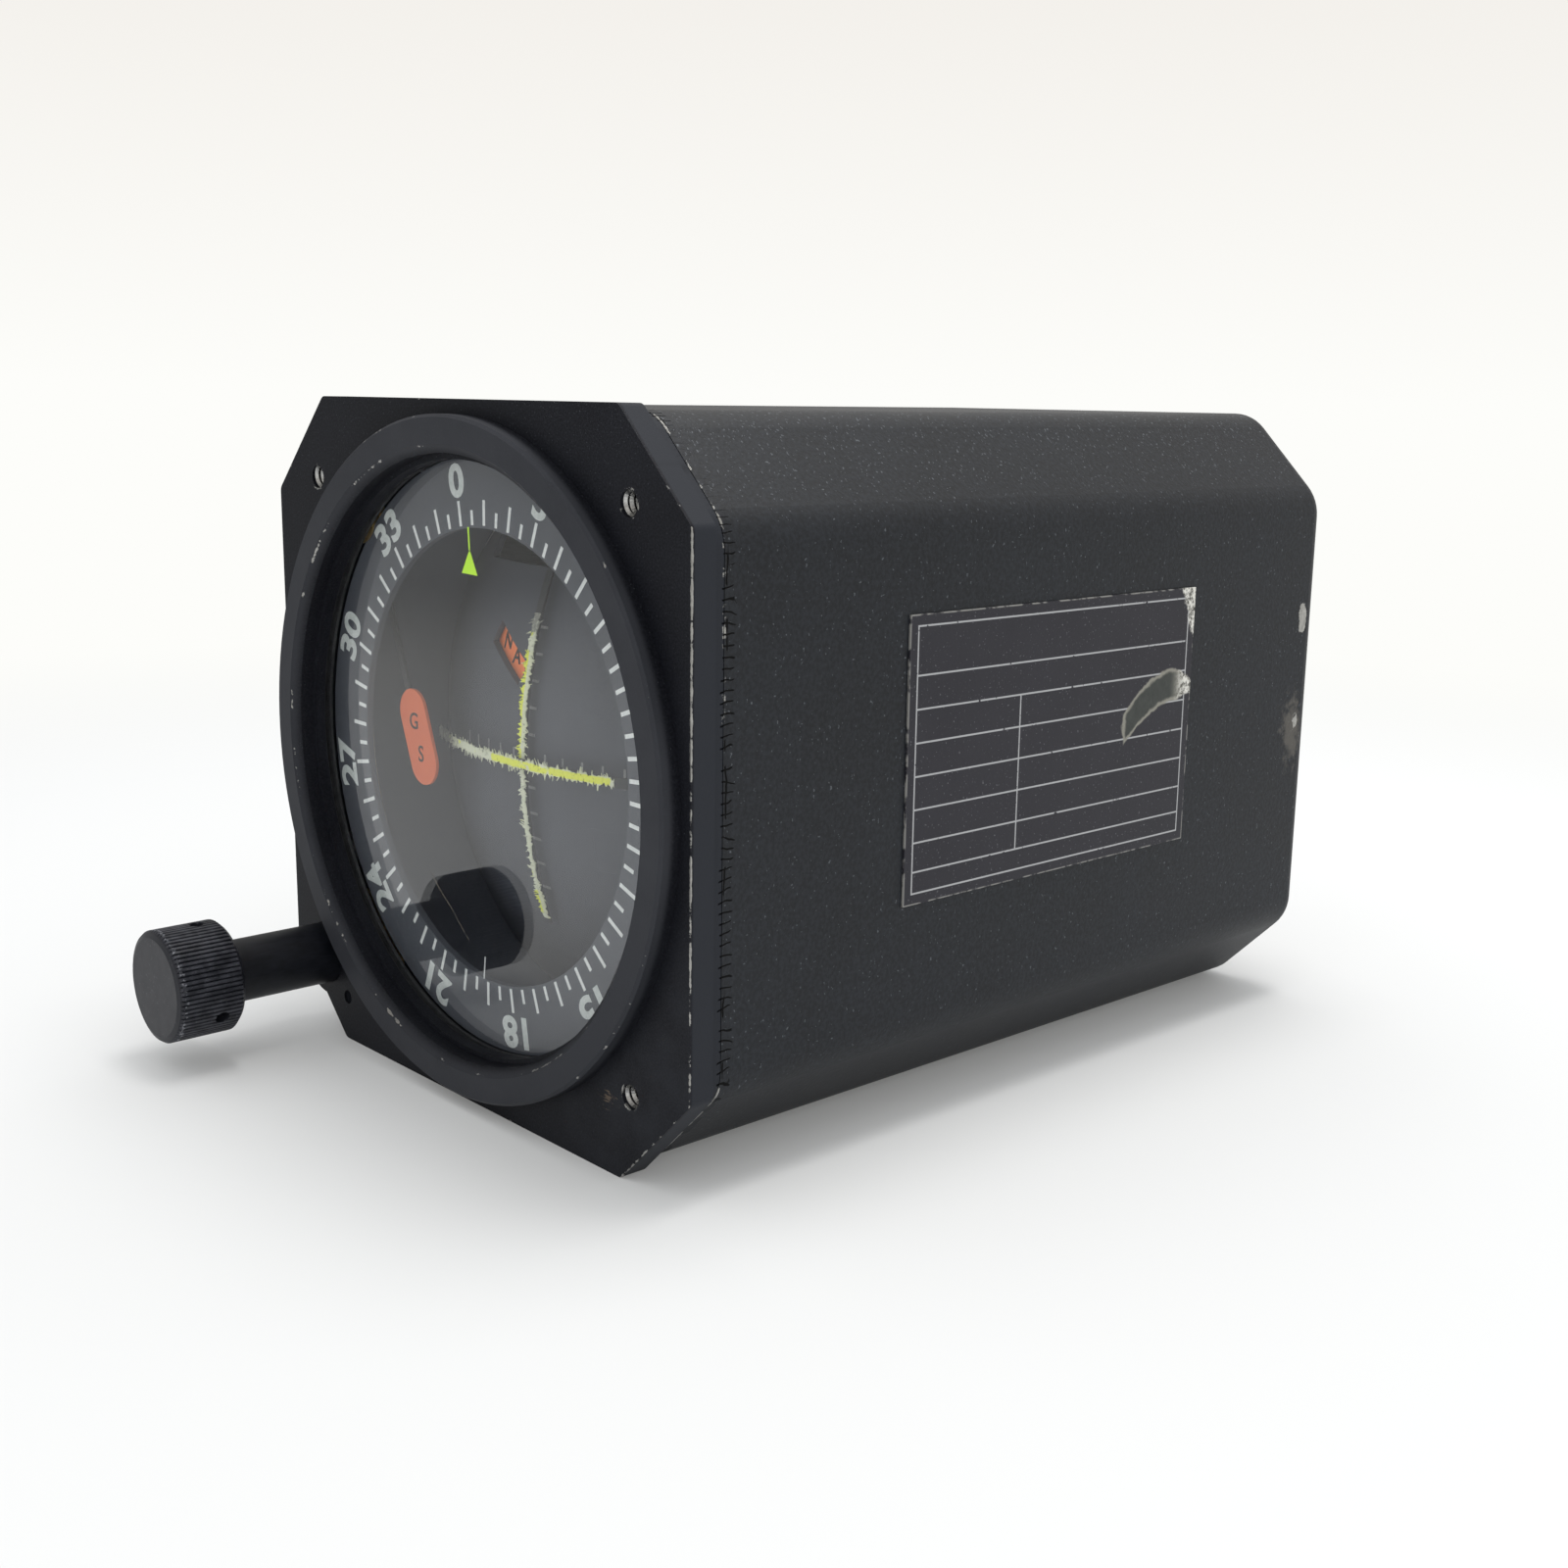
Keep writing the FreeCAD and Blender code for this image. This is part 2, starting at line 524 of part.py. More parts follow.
def make_flange():
    body = document.addObject("PartDesign::Body", "Body")
    sketch = new_sketch(body, "XZ_Plane")
    corners = octagon("flange_width", "flange_cut")
    half = "flange_width / 2"
    corners[5] = (f"-{half}", f"-({half} - knob_corner_cut)")
    corners[6] = (f"-({half} - knob_corner_cut)", f"-{half}")
    draw_outline(sketch, corners)
    plate = add_pad(body, sketch, "flange_thickness")
    add_fillet(body, plate, edges_along_y(plate.Shape), "flange_corner_radius")
    sketch = new_sketch(body, "XZ_Plane", "flange_thickness")
    draw_outline(sketch, octagon("case_width", "case_cut", "case_gap"))
    draw_outline(sketch, octagon("case_width", "case_cut", "case_gap + case_wall + spigot_wall"))
    shoulder = add_pad(body, sketch, "shoulder_rear - flange_thickness")
    add_fillet(body, shoulder, outer_edges(shoulder.Shape, "shoulder_rear"), "case_round")
    sketch = new_sketch(body, "XZ_Plane", "shoulder_rear")
    rim = "case_wall + spigot_clearance"
    draw_outline(sketch, octagon("case_width", "case_cut", rim))
    draw_outline(sketch, octagon("case_width", "case_cut", f"{rim} + spigot_wall"))
    spigot = add_pad(body, sketch, "spigot_height")
    rim_edges = outer_edges(spigot.Shape, "shoulder_rear + spigot_height")
    add_fillet(body, spigot, rim_edges, "case_round - case_wall - spigot_clearance")
    sketch = new_sketch(body, "XZ_Plane")
    draw_circle(sketch, "knob_x", "knob_z", "boss_radius")
    add_pad(body, sketch, "shoulder_rear")
    add_turning(body, [
        ("lip_opening", "0"),
        ("bezel_opening", "-(bezel_height - bezel_bevel)"),
        ("bezel_opening + bezel_bevel", "-bezel_height"),
        ("bezel_radius - bezel_edge", "-bezel_height"),
        ("bezel_radius", "-(bezel_height - bezel_edge)"),
        ("bezel_radius", "0"),
    ])
    add_turning(body, [
        ("bezel_opening", "flange_thickness"),
        ("window_bore + collar_wall", "flange_thickness"),
        ("window_bore + collar_wall", "collar_rear"),
        ("bezel_opening", "collar_rear"),
    ])
    add_turning(body, [
        ("0", "-2 * bezel_height"),
        ("bezel_opening", "-2 * bezel_height"),
        ("bezel_opening", "lip_front"),
        ("lip_opening", "lip_front"),
        ("lip_opening", "lip_front + lip_thickness"),
        ("window_bore", "lip_front + lip_thickness"),
        ("window_bore", "2 * flange_thickness"),
        ("0", "2 * flange_thickness"),
    ], "PartDesign::Groove")
    sketch = new_sketch(body, "XZ_Plane")
    for across, up in hole_places:
        draw_circle(sketch, across, up, "hole_radius")
    draw_circle(sketch, "corner_hole_x", "corner_hole_z", "corner_hole_radius")
    add_pocket(body, sketch, "flange_thickness")
    sketch = new_sketch(body, "XZ_Plane", "-bezel_height")
    draw_circle(sketch, "knob_x", "knob_z", "shaft_radius + running_clearance")
    add_pocket(body, sketch, "bezel_height + shoulder_rear")
    sketch = new_sketch(body, "XZ_Plane", "flange_thickness - blind_depth")
    for across, up in roller_places:
        draw_circle(sketch, across, up, "roller_pin_radius")
    for across, up in pillar_places:
        draw_circle(sketch, across, up, "stud_radius")
    draw_circle(sketch, *idler_expressions(), "idler_shaft_radius + running_clearance")
    add_pocket(body, sketch, "blind_depth + shoulder_rear - flange_thickness")
    sketch = new_sketch(body, "XZ_Plane", "shoulder_rear")
    pinion_room = "(shaft_teeth / 2 + tooth_top) * gear_module + pinion_clearance"
    draw_circle(sketch, "knob_x", "knob_z", pinion_room)
    add_pocket(body, sketch, "spigot_height")
    return keep(body, "front_flange")


def ring(label, inner, outer, front, rear, centre=("0", "0")):
    """A turned ring or tube."""
    return turned(label, [(inner, front), (outer, front), (outer, rear), (inner, rear)], centre)


def disc(label, radius, front, rear, centre=("0", "0")):
    """A turned disc or plain shaft."""
    return ring(label, "0", radius, front, rear, centre)


def rectangle(left, right, low, high):
    """Corners of an upright rectangle from four expressions."""
    return [(left, low), (right, low), (right, high), (left, high)]


def plate(label, depth, thickness, outlines, circles):
    """A flat plate with holes; the first outline is its edge."""
    body = document.addObject("PartDesign::Body", "Body")
    sketch = new_sketch(body, "XZ_Plane", depth)
    for outline in outlines:
        draw_outline(sketch, outline)
    for across, up, radius in circles:
        draw_circle(sketch, across, up, radius)
    add_pad(body, sketch, thickness)
    return keep(body, label)


make_flange()

# Window: rubber, glass and the ring that holds them against the lip

glass_front = "(lip_front + lip_thickness + gasket_thickness)"
glass_rear = f"({glass_front} + glass_thickness)"
glass_edge = "(window_bore - window_clearance)"
ring("glass_gasket", f"{glass_edge} - gasket_width", glass_edge,
     "lip_front + lip_thickness", glass_front)
disc("window_glass", glass_edge, glass_front, glass_rear)
ring("glass_clip", "window_bore - clip_width", "window_bore", glass_rear,
     f"{glass_rear} + clip_thickness")

# Gears

MODULE = size("gear_module")
ANGLE = math.radians(size("pressure_angle"))


def involute(angle):
    return math.tan(angle) - angle


def tooth_half_angle(teeth, radius):
    """Half the angle that a tooth takes up at a radius."""
    pitch_radius = teeth * MODULE / 2
    base_radius = pitch_radius * math.cos(ANGLE)
    width = math.pi * MODULE / 2 - size("tooth_play")
    here = math.acos(min(1.0, base_radius / radius))
    return width / (2 * pitch_radius) + involute(ANGLE) - involute(here)


def gear(teeth, bore, front, rear, x, z, phase, steps=2):
    """A spur gear with one tooth centred on the phase angle, in radians from X towards Z."""
    pitch_radius = teeth * MODULE / 2
    root = pitch_radius - size("tooth_bottom") * MODULE
    tip = pitch_radius + size("tooth_top") * MODULE
    start = max(root, pitch_radius * math.cos(ANGLE))
    radii = [start + (tip - start) * step / steps for step in range(steps + 1)]
    if start - root > 0.02:
        radii = [root] + radii
    points = []
    for tooth in range(teeth):
        middle = phase + 2 * math.pi * tooth / teeth
        flank = [(radius, tooth_half_angle(teeth, max(radius, start))) for radius in radii]
        for radius, half in flank:
            points.append((radius, middle - half))
        for radius, half in reversed(flank):
            points.append((radius, middle + half))
    outline = [(x + r * math.cos(a), z + r * math.sin(a)) for r, a in points]
    return plate_from(outline, front, rear).cut(rod(bore, front, rear, x, z))


def meshed_phase(phase, radius, direction, other_radius):
    """Phase of a second gear whose tooth gap meets the first gear's teeth."""
    pitch = math.pi * MODULE
    travel = (phase - direction) * radius + pitch / 2
    return direction + math.pi - travel / other_radius


def gear_radius(teeth_name):
    return size(teeth_name) * MODULE / 2


knob_x, knob_z = size("knob_x"), size("knob_z")
idler_x, idler_z = idler_place()
card_to_idler = math.atan2(idler_z, idler_x)
idler_to_knob_angle = math.atan2(knob_z - idler_z, knob_x - idler_x)
idler_phase = meshed_phase(card_to_idler, gear_radius("card_teeth"), card_to_idler,
                           gear_radius("idler_teeth"))
knob_phase = meshed_phase(idler_phase, gear_radius("idler_teeth"), idler_to_knob_angle,
                          gear_radius("shaft_teeth"))
resolver_angle = math.radians(size("resolver_angle"))
resolver_reach = gear_radius("pinion_teeth") + gear_radius("resolver_teeth")
resolver_x = idler_x + resolver_reach * math.cos(resolver_angle)
resolver_z = idler_z + resolver_reach * math.sin(resolver_angle)
resolver_phase = meshed_phase(resolver_angle, gear_radius("pinion_teeth"), resolver_angle,
                              gear_radius("resolver_teeth"))
idler_axis = idler_expressions()
to_resolver = "((pinion_teeth + resolver_teeth) * gear_module / 2)"
resolver_axis = (f"{idler_axis[0]} + {to_resolver} * cos(resolver_angle)",
                 f"{idler_axis[1]} + {to_resolver} * sin(resolver_angle)")

# Compass card, its gear, and the rollers that carry its edge

ring("compass_card", "card_opening", "card_radius", "card_depth", "card_rear")
free_part("card_gear", gear(int(size("card_teeth")), size("gear_opening"), size("card_rear"),
                            size("card_rear + gear_width"), 0, 0, card_to_idler, 1))
roller_sides = ["right", "left", "low"]
roller_bore = "roller_pin_radius + running_clearance"
groove_front = "(card_depth - roller_gap)"
groove_rear = "(card_rear + roller_gap)"
for side, place in zip(roller_sides, roller_places):
    turned(f"card_roller_{side}", [
        (roller_bore, f"{groove_front} - roller_front_flange"),
        ("roller_flange", f"{groove_front} - roller_front_flange"),
        ("roller_flange", groove_front),
        ("roller_radius", groove_front),
        ("roller_radius", groove_rear),
        ("roller_flange", groove_rear),
        ("roller_flange", f"{groove_rear} + roller_rear_flange"),
        (roller_bore, f"{groove_rear} + roller_rear_flange"),
    ], place)
pin_front = size("flange_thickness - blind_depth")
pin_head = size(f"{groove_rear} + roller_rear_flange + roller_pin_gap")
pin_head_radius = size("roller_pin_radius + roller_pin_rim")
pins = []
for across, up in roller_places:
    x, z = size(across), size(up)
    shank = rod(size("roller_pin_radius"), pin_front, pin_head, x, z)
    head = rod(pin_head_radius, pin_head, pin_head + size("roller_pin_head"), x, z)
    pins.append(shank.fuse(head))
free_part("roller_pins", Part.makeCompound(pins))

# Knob, its shaft and the idler

gear_front = size("gear_front")
gear_rear = gear_front + size("idler_gear_width")


def knurled_outline(radius, depth, count):
    """Points of a round outline with grooves, all about the origin."""
    points = []
    for groove in range(count):
        for share, sunk in ((0.0, 0.0), (0.5, 0.0), (0.75, 1.0)):
            angle = 2 * math.pi * (groove + share) / count
            distance = radius - depth * sunk
            points.append((distance * math.cos(angle), distance * math.sin(angle)))
    return points


def make_knob():
    radius, front = size("knob_radius"), size("knob_front")
    rear, edge = size("knob_front + knob_length"), size("knob_chamfer")
    outline = knurled_outline(radius, size("knurl_depth"), int(size("knurl_count")))
    body = plate_from([(x + knob_x, z + knob_z) for x, z in outline], front, rear)
    profile = [(0, front), (radius - edge * 1.6, front), (radius - edge * 0.5, front + edge * 0.4),
               (radius + 0.2, front + edge * 1.6), (radius + 0.2, rear - edge * 1.4),
               (radius - edge, rear), (0, rear)]
    wire = Part.makePolygon([vector(r, y, 0) for r, y in profile + profile[:1]])
    envelope = Part.Face(wire).revolve(vector(0, 0, 0), vector(0, 1, 0), 360)
    envelope.translate(vector(knob_x, 0, knob_z))
    body = body.common(envelope)
    end = size("shaft_end_length")
    body = body.cut(rod(size("shaft_end_radius"), rear - end, rear, knob_x, knob_z))
    for angle in set_screw_angles:
        body = body.cut(radial_rod(size("set_screw_radius"), 0, radius + 1, angle))
    return body.removeSplitter()


set_screw_angles = (90.0, -30.0)
set_screw_depth = size("knob_front + knob_length - set_screw_inset")


def radial_rod(radius, near, far, angle):
    """A rod that points out from the knob's axis at an angle from X towards Z."""
    way = vector(math.cos(math.radians(angle)), 0, math.sin(math.radians(angle)))
    start = vector(knob_x, set_screw_depth, knob_z) + way * near
    return Part.makeCylinder(radius, far - near, start, way)


def set_screw(angle):
    """A screw with a hexagon socket, resting on the shaft."""
    near = size("shaft_end_radius")
    far = near + size("set_screw_length")
    body = radial_rod(size("set_screw_radius"), near, far, angle)
    way = vector(math.cos(math.radians(angle)), 0, math.sin(math.radians(angle)))
    side = vector(0, 1, 0).cross(way)
    corners = []
    across, deep = size("set_screw_socket"), size("set_screw_socket_depth")
    for turn in range(6):
        bend = math.radians(60 * turn)
        offset = (vector(0, 1, 0) * math.cos(bend) + side * math.sin(bend)) * across
        corners.append(vector(knob_x, set_screw_depth, knob_z) + way * (far - deep) + offset)
    socket = Part.Face(Part.makePolygon(corners + corners[:1])).extrude(way * deep)
    return body.cut(socket)


free_part("obs_knob", make_knob())
free_part("knob_set_screws", Part.makeCompound([set_screw(angle) for angle in set_screw_angles]))
knob_rear = "(knob_front + knob_length)"
turned("obs_shaft", [
    ("0", f"{knob_rear} - shaft_end_length"),
    ("shaft_end_radius", f"{knob_rear} - shaft_end_length"),
    ("shaft_end_radius", knob_rear),
    ("shaft_radius", knob_rear),
    ("shaft_radius", "shoulder_rear - running_clearance"),
    ("spindle_radius", "shoulder_rear - running_clearance"),
    ("spindle_radius", "mechanism_depth + plate_thickness"),
    ("0", "mechanism_depth + plate_thickness"),
], ("knob_x", "knob_z"))
free_part("shaft_pinion", gear(int(size("shaft_teeth")), size("spindle_radius"), gear_front,
                               gear_rear, knob_x, knob_z, knob_phase))
disc("idler_shaft", "idler_shaft_radius", "flange_thickness - blind_depth",
     "resolver_depth + plate_thickness", idler_axis)
free_part("idler_gear", gear(int(size("idler_teeth")), size("idler_shaft_radius"), gear_front,
                             gear_rear, idler_x, idler_z, idler_phase))
pinion_front = size("mechanism_depth + plate_thickness + pinion_gap")
pinion_rear = pinion_front + size("pinion_width")
resolver_gear_inset = size("(pinion_width - resolver_gear_width) / 2")
free_part("resolver_pinion", gear(int(size("pinion_teeth")), size("idler_shaft_radius"),
                                  pinion_front, pinion_rear, idler_x, idler_z, resolver_angle))
free_part("resolver_gear", gear(int(size("resolver_teeth")), size("rotor_radius"),
                                pinion_front + resolver_gear_inset,
                                pinion_rear - resolver_gear_inset, resolver_x, resolver_z,
                                resolver_phase, 1))
resolver_front = "(resolver_depth + plate_thickness)"
bore_end = f"({resolver_front} + resolver_length - resolver_bottom)"
disc("resolver_shaft", "rotor_radius", "mechanism_depth + plate_thickness + rotor_gap",
     f"{bore_end} - staff_end_gap", resolver_axis)
turned("resolver_body", [
    ("rotor_radius + running_clearance", resolver_front),
    ("resolver_radius", resolver_front),
    ("resolver_radius", f"{resolver_front} + resolver_length"),
    ("0", f"{resolver_front} + resolver_length"),
    ("0", bore_end),
    ("rotor_radius + running_clearance", bore_end),
], resolver_axis)

# Dial mask and light shield, both standing on the first inner plate

centre = vector(0, size("movement_centre"), -size("movement_drop"))


def ball(radius):
    """A sphere about the point that both needles swing about."""
    return Part.makeSphere(radius, centre)


def bent_block(x_pair, z_pair, inner, outer):
    """A piece of spherical shell in front of the needles' centre, cut to a block's sides."""
    piece = block(x_pair, (size("lip_front"), size("mechanism_depth")), z_pair)
    return piece.common(ball(outer)).cut(ball(inner))


def turned_window(x, z, width, height, degrees):
    """A block through the mask, turned about its own middle line."""
    body = block((x - width / 2, x + width / 2), (0, size("mechanism_depth")),
                 (z - height / 2, z + height / 2))
    return turned_about(vector(x, 0, z), vector(0, 1, 0), body, degrees)


def arm_slots(front, rear, reach_depth):
    """Blocks where the two needle arms pass a plate, wide enough for their whole swing."""
    margin, thick = size("slot_margin"), size("arm_thickness")
    reach = size("needle_reach")
    swing = math.radians(size("needle_swing"))
    half = (size("movement_centre") - reach_depth) * math.tan(swing) + margin
    near, far = reach - margin, reach + thick + margin
    drop = size("movement_drop")
    top = block((-half, half), (front, rear), (near - drop, far - drop))
    side = block((near, far), (front, rear), (-half - drop, half - drop))
    return [top, side]


def slot_outlines(reach_depth):
    """The same two openings as sketch outlines."""
    half = f"((movement_centre - {reach_depth}) * tan(needle_swing) + 2 * slot_margin)"
    near = "(needle_reach - slot_margin)"
    far = "(needle_reach + arm_thickness + slot_margin)"
    top = rectangle(f"-{half}", half, f"{near} - movement_drop", f"{far} - movement_drop")
    side = rectangle(near, far, f"-{half} - movement_drop", f"{half} - movement_drop")
    return [top, side]


mask_outer = size("mask_radius")
mask_inner = size("mask_radius - mask_thickness")
mask_edge = size("mask_edge")
dial_front = size("lip_front")
plate_front = size("mechanism_depth")
drop = size("movement_drop")
mask = rod(mask_edge, dial_front, plate_front, 0, -drop).common(ball(mask_outer))
mask = mask.cut(rod(mask_edge - size("mask_thickness"), dial_front, plate_front, 0, -drop).common(
    ball(mask_inner)))
mask = mask.cut(turned_window(size("nav_window_x"), size("nav_window_z"),
                              size("nav_window_length"), size("nav_window_width"),
                              size("nav_window_tilt")))
mask = mask.cut(turned_window(size("to_window_x"), size("to_window_z"), size("to_window_width"),
                              size("to_window_height"), 0.0))
for opening in arm_slots(dial_front, plate_front, size("mask_front")):
    mask = mask.cut(opening)
free_part("dial_mask", mask.removeSplitter())
ring("light_shield", "shield_opening", "shield_opening + shield_wall", "shield_front",
     "mechanism_depth")

# Needles: each a bent bar, an arm to its staff, and the staff in its movement


def needle(radius, tail):
    """A needle drawn as the course needle is: bar up and down, staff upright at the top."""
    half, reach = size("needle_width") / 2, size("needle_reach")
    thick = size("arm_thickness")
    top = reach + thick
    bar = bent_block((-half, half), (-tail - drop, top - drop), radius - size("needle_thickness"),
                     radius)
    middle = size("movement_centre")
    front = middle - math.sqrt(radius**2 - top**2)
    arm = block((-half, half), (front, middle), (reach - drop, top - drop))
    staff = size("staff_radius")
    post = Part.makeCylinder(staff, size("meter_gap + staff_depth"), vector(0, middle, top - drop))
    rim = size("needle_hub_rim")
    hub = Part.makeCylinder(size("needle_hub_radius"), thick + 2 * rim,
                            vector(0, middle, reach - rim - drop))
    return bar.fuse([arm, post, hub])


course_needle = needle(size("cdi_needle_radius"), size("needle_tail"))
lean = math.degrees(math.asin(size("needle_rest_offset") / size("cdi_needle_radius")))
free_part("cdi_needle", turned_about(centre, vector(0, 0, 1), course_needle, lean))
slope_needle = needle(size("gs_needle_radius"), size("gs_needle_tail"))
free_part("gs_needle", turned_about(centre, vector(0, 1, 0), slope_needle, 90.0))


def meter(label, axis, angle, foot):
    """A movement whose own axis is turned from Y to another axis."""
    body = document.addObject("PartDesign::Body", "Body")
    start = "(needle_reach + arm_thickness + meter_gap)"
    stop = f"({start} + meter_length)"
    bottom = f"({start} + staff_depth + staff_end_gap)"
    bore = "(staff_radius + running_clearance)"
    add_turning(body, [
        ("0", bottom), (bore, bottom), (bore, start), ("meter_boss_radius", start),
        ("meter_radius", f"{start} + meter_boss_height"), ("meter_radius", stop), ("0", stop),
    ])
    sketch = new_sketch(body, "XZ_Plane", f"{start} + meter_boss_height")
    draw_outline(sketch, foot)
    add_pad(body, sketch, "meter_length - meter_boss_height")
    body.Placement = FreeCAD.Placement(vector(0, 0, 0), FreeCAD.Rotation(axis, angle))
    body.setExpression("Placement.Base.y", bound("movement_centre"))
    body.setExpression("Placement.Base.z", bound("-movement_drop"))
    return keep(body, label)


foot_span = ("-foot_depth", "-meter_foot / 2")
foot_side = ("-meter_foot / 2", "meter_foot / 2")
meter("cdi_meter", vector(1, 0, 0), 90, rectangle(*foot_side, *foot_span))
meter("gs_meter", vector(0, 0, 1), -90, rectangle(*foot_span, *foot_side))

# Flags and the direction vane, each with its movement


def sector(radius, start, stop, front, rear):
    """A flat sector about the dial's own axis, angles in degrees from X towards Z."""
    points = [(0.0, -drop)]
    steps = 13
    for step in range(steps + 1):
        angle = math.radians(start + (stop - start) * step / steps)
        points.append((radius * math.cos(angle), radius * math.sin(angle) - drop))
    return plate_from(points, front, rear)


vane_outer = mask_inner - size("vane_gap")
vane_inner = vane_outer - size("vane_thickness")
vane_span = size("nav_vane_angle")
vane_start = size("nav_vane_start")
vane = sector(size("nav_vane_radius"), vane_start - vane_span, vane_start + vane_span,
              dial_front, plate_front)
vane = vane.fuse(rod(size("nav_hub_radius"), dial_front, plate_front, 0, -drop))
vane = vane.common(ball(vane_outer)).cut(ball(vane_inner))
staff_reach = size("small_meter_length - small_meter_bottom - staff_end_gap")
nav_staff_rear = plate_front - size("small_meter_length") + staff_reach
vane_middle = size("movement_centre") - (vane_inner + vane_outer) / 2
vane = vane.fuse(rod(size("staff_radius"), vane_middle, nav_staff_rear, 0, -drop))
free_part("nav_flag", vane)
small_bore = "(staff_radius + running_clearance)"


def small_meter(label, front, place):
    """A round movement with a blind hole for its staff."""
    rear = f"{front} + small_meter_length"
    return turned(label, [
        (small_bore, front), ("small_meter_radius", front), ("small_meter_radius", rear),
        ("0", rear), ("0", f"{rear} - small_meter_bottom"),
        (small_bore, f"{rear} - small_meter_bottom"),
    ], place)


small_meter("nav_flag_movement", "(mechanism_depth - small_meter_length)", ("0", "-movement_drop"))
flag_pivot = ("gs_pivot_x", "gs_pivot_z")
small_meter("gs_flag_movement", resolver_front, flag_pivot)
to_pivot = ("to_window_x", "to_pivot_z")
small_meter("to_from_movement", resolver_front, to_pivot)
staff_rear = size(resolver_front) + staff_reach


def make_gs_flag():
    """The round-ended flag hanging from its pivot, drawn upright and then swung to the right."""
    x, pivot, front = size("gs_pivot_x"), size("gs_pivot_z"), size("gs_flag_depth")
    z = pivot - size("gs_flag_arm")
    rear = front + size("vane_thickness")
    half = size("gs_flag_width") / 2
    straight = size("gs_flag_length") / 2 - half
    body = block((x - half, x + half), (front, rear), (z - straight, z + straight))
    for end in (z - straight, z + straight):
        body = body.fuse(rod(half, front, rear, x, end))
    width = size("vane_arm_width") / 2
    body = body.fuse(block((x - width, x + width), (front, rear), (z, pivot)))
    body = body.fuse(rod(size("gs_hub_radius"), front, front + size("gs_hub_length"), x, pivot))
    body = body.fuse(rod(size("staff_radius"), front, staff_rear, x, pivot))
    return turned_about(vector(x, 0, pivot), vector(0, -1, 0), body.removeSplitter(),
                        size("gs_flag_tilt"))


def make_to_vane():
    """The direction vane: a head behind its window, a post, an arm and the staff."""
    x, z = size("to_window_x"), size("to_window_z")
    half, width = size("to_vane_width") / 2, size("vane_arm_width") / 2
    low, tall = size("to_pivot_z"), size("to_window_height / 2 + to_vane_margin")
    corner = math.hypot(x + half, z - tall + drop)
    head_front = size("movement_centre + to_vane_gap") - math.sqrt(mask_inner**2 - corner**2)
    arm_front = plate_front - size("to_hub_length + to_hub_gap")
    arm_rear = arm_front + size("to_arm_thickness")
    head_rear = head_front + size("vane_thickness")
    body = block((x - half, x + half), (head_front, head_rear), (z - tall, z + tall))
    body = body.fuse(block((x - width, x + width), (head_front, arm_rear), (z - width, z + width)))
    body = body.fuse(block((x - width, x + width), (arm_front, arm_rear), (low, z)))
    body = body.fuse(rod(size("to_hub_radius"), arm_front, arm_front + size("to_hub_length"), x, low))
    return body.fuse(rod(size("staff_radius"), arm_front, staff_rear, x, low))


free_part("gs_flag", make_gs_flag())
free_part("to_from_vane", make_to_vane())

# Inner plates on their pillars

plate_edge = octagon("case_width", "case_cut", "plate_margin")
pillar_holes = [(across, up, "pillar_radius") for across, up in pillar_places]
shaft_hole = "idler_shaft_radius + running_clearance"
plate("mechanism_plate", "mechanism_depth", "plate_thickness",
      [plate_edge] + slot_outlines("mechanism_depth"),
      pillar_holes + [(*idler_axis, shaft_hole), (*flag_pivot, small_bore), (*to_pivot, small_bore),
                      ("knob_x", "knob_z", "spindle_radius + running_clearance")])
plate("resolver_plate", "resolver_depth", "plate_thickness",
      [plate_edge] + slot_outlines("resolver_depth"),
      pillar_holes + [(*idler_axis, shaft_hole), (*flag_pivot, small_bore), (*to_pivot, small_bore),
                      (*resolver_axis, "rotor_radius + running_clearance")])
wire_hole = [("0", "0", "6")]
plate("movement_plate", "movement_depth", "plate_thickness", [plate_edge], pillar_holes + wire_hole)
plate("front_board", "board_depth", "board_thickness", [plate_edge], pillar_holes)
plate("rear_board", "board_depth + board_pitch", "board_thickness", [plate_edge], pillar_holes)
board_half = size("case_width / 2 - plate_margin")
front_face = size("board_depth + board_thickness")
rear_face = size("board_depth + board_pitch")
parts_room = rear_face - front_face
components = []
# left, right, low and high edges as shares of the board's half width, and share of the room's depth
for left, right, low, high, share in (
    (-0.61, -0.36, 0.10, 0.31, 0.37), (-0.20, 0.15, 0.15, 0.33, 0.42),
    (0.31, 0.77, -0.20, 0.10, 0.58), (-0.66, -0.20, 0.36, 0.51, -0.32),
    (-0.05, 0.51, 0.46, 0.66, -0.32), (-0.77, -0.61, -0.20, 0.15, -0.42),
):
    spans = [tuple(board_half * edge for edge in pair) for pair in ((left, right), (low, high))]
    depths = (front_face, front_face + share * parts_room)
    if share < 0:
        depths = (rear_face + share * parts_room, rear_face)
    components.append(block(spans[0], depths, spans[1]))
# radius, sideways and up as shares of the board's half width, and share of the room's depth
for wide, across, up, share in ((0.10, -0.46, -0.36, 0.74), (0.08, -0.10, -0.46, 0.64),
                                (0.08, 0.15, -0.46, 0.64)):
    top = front_face + share * parts_room
    components.append(rod(wide * board_half, front_face, top, across * board_half, up * board_half))
free_part("board_components", Part.makeCompound(components))

# Pillars, each with a stud in the flange and a tapped rear end

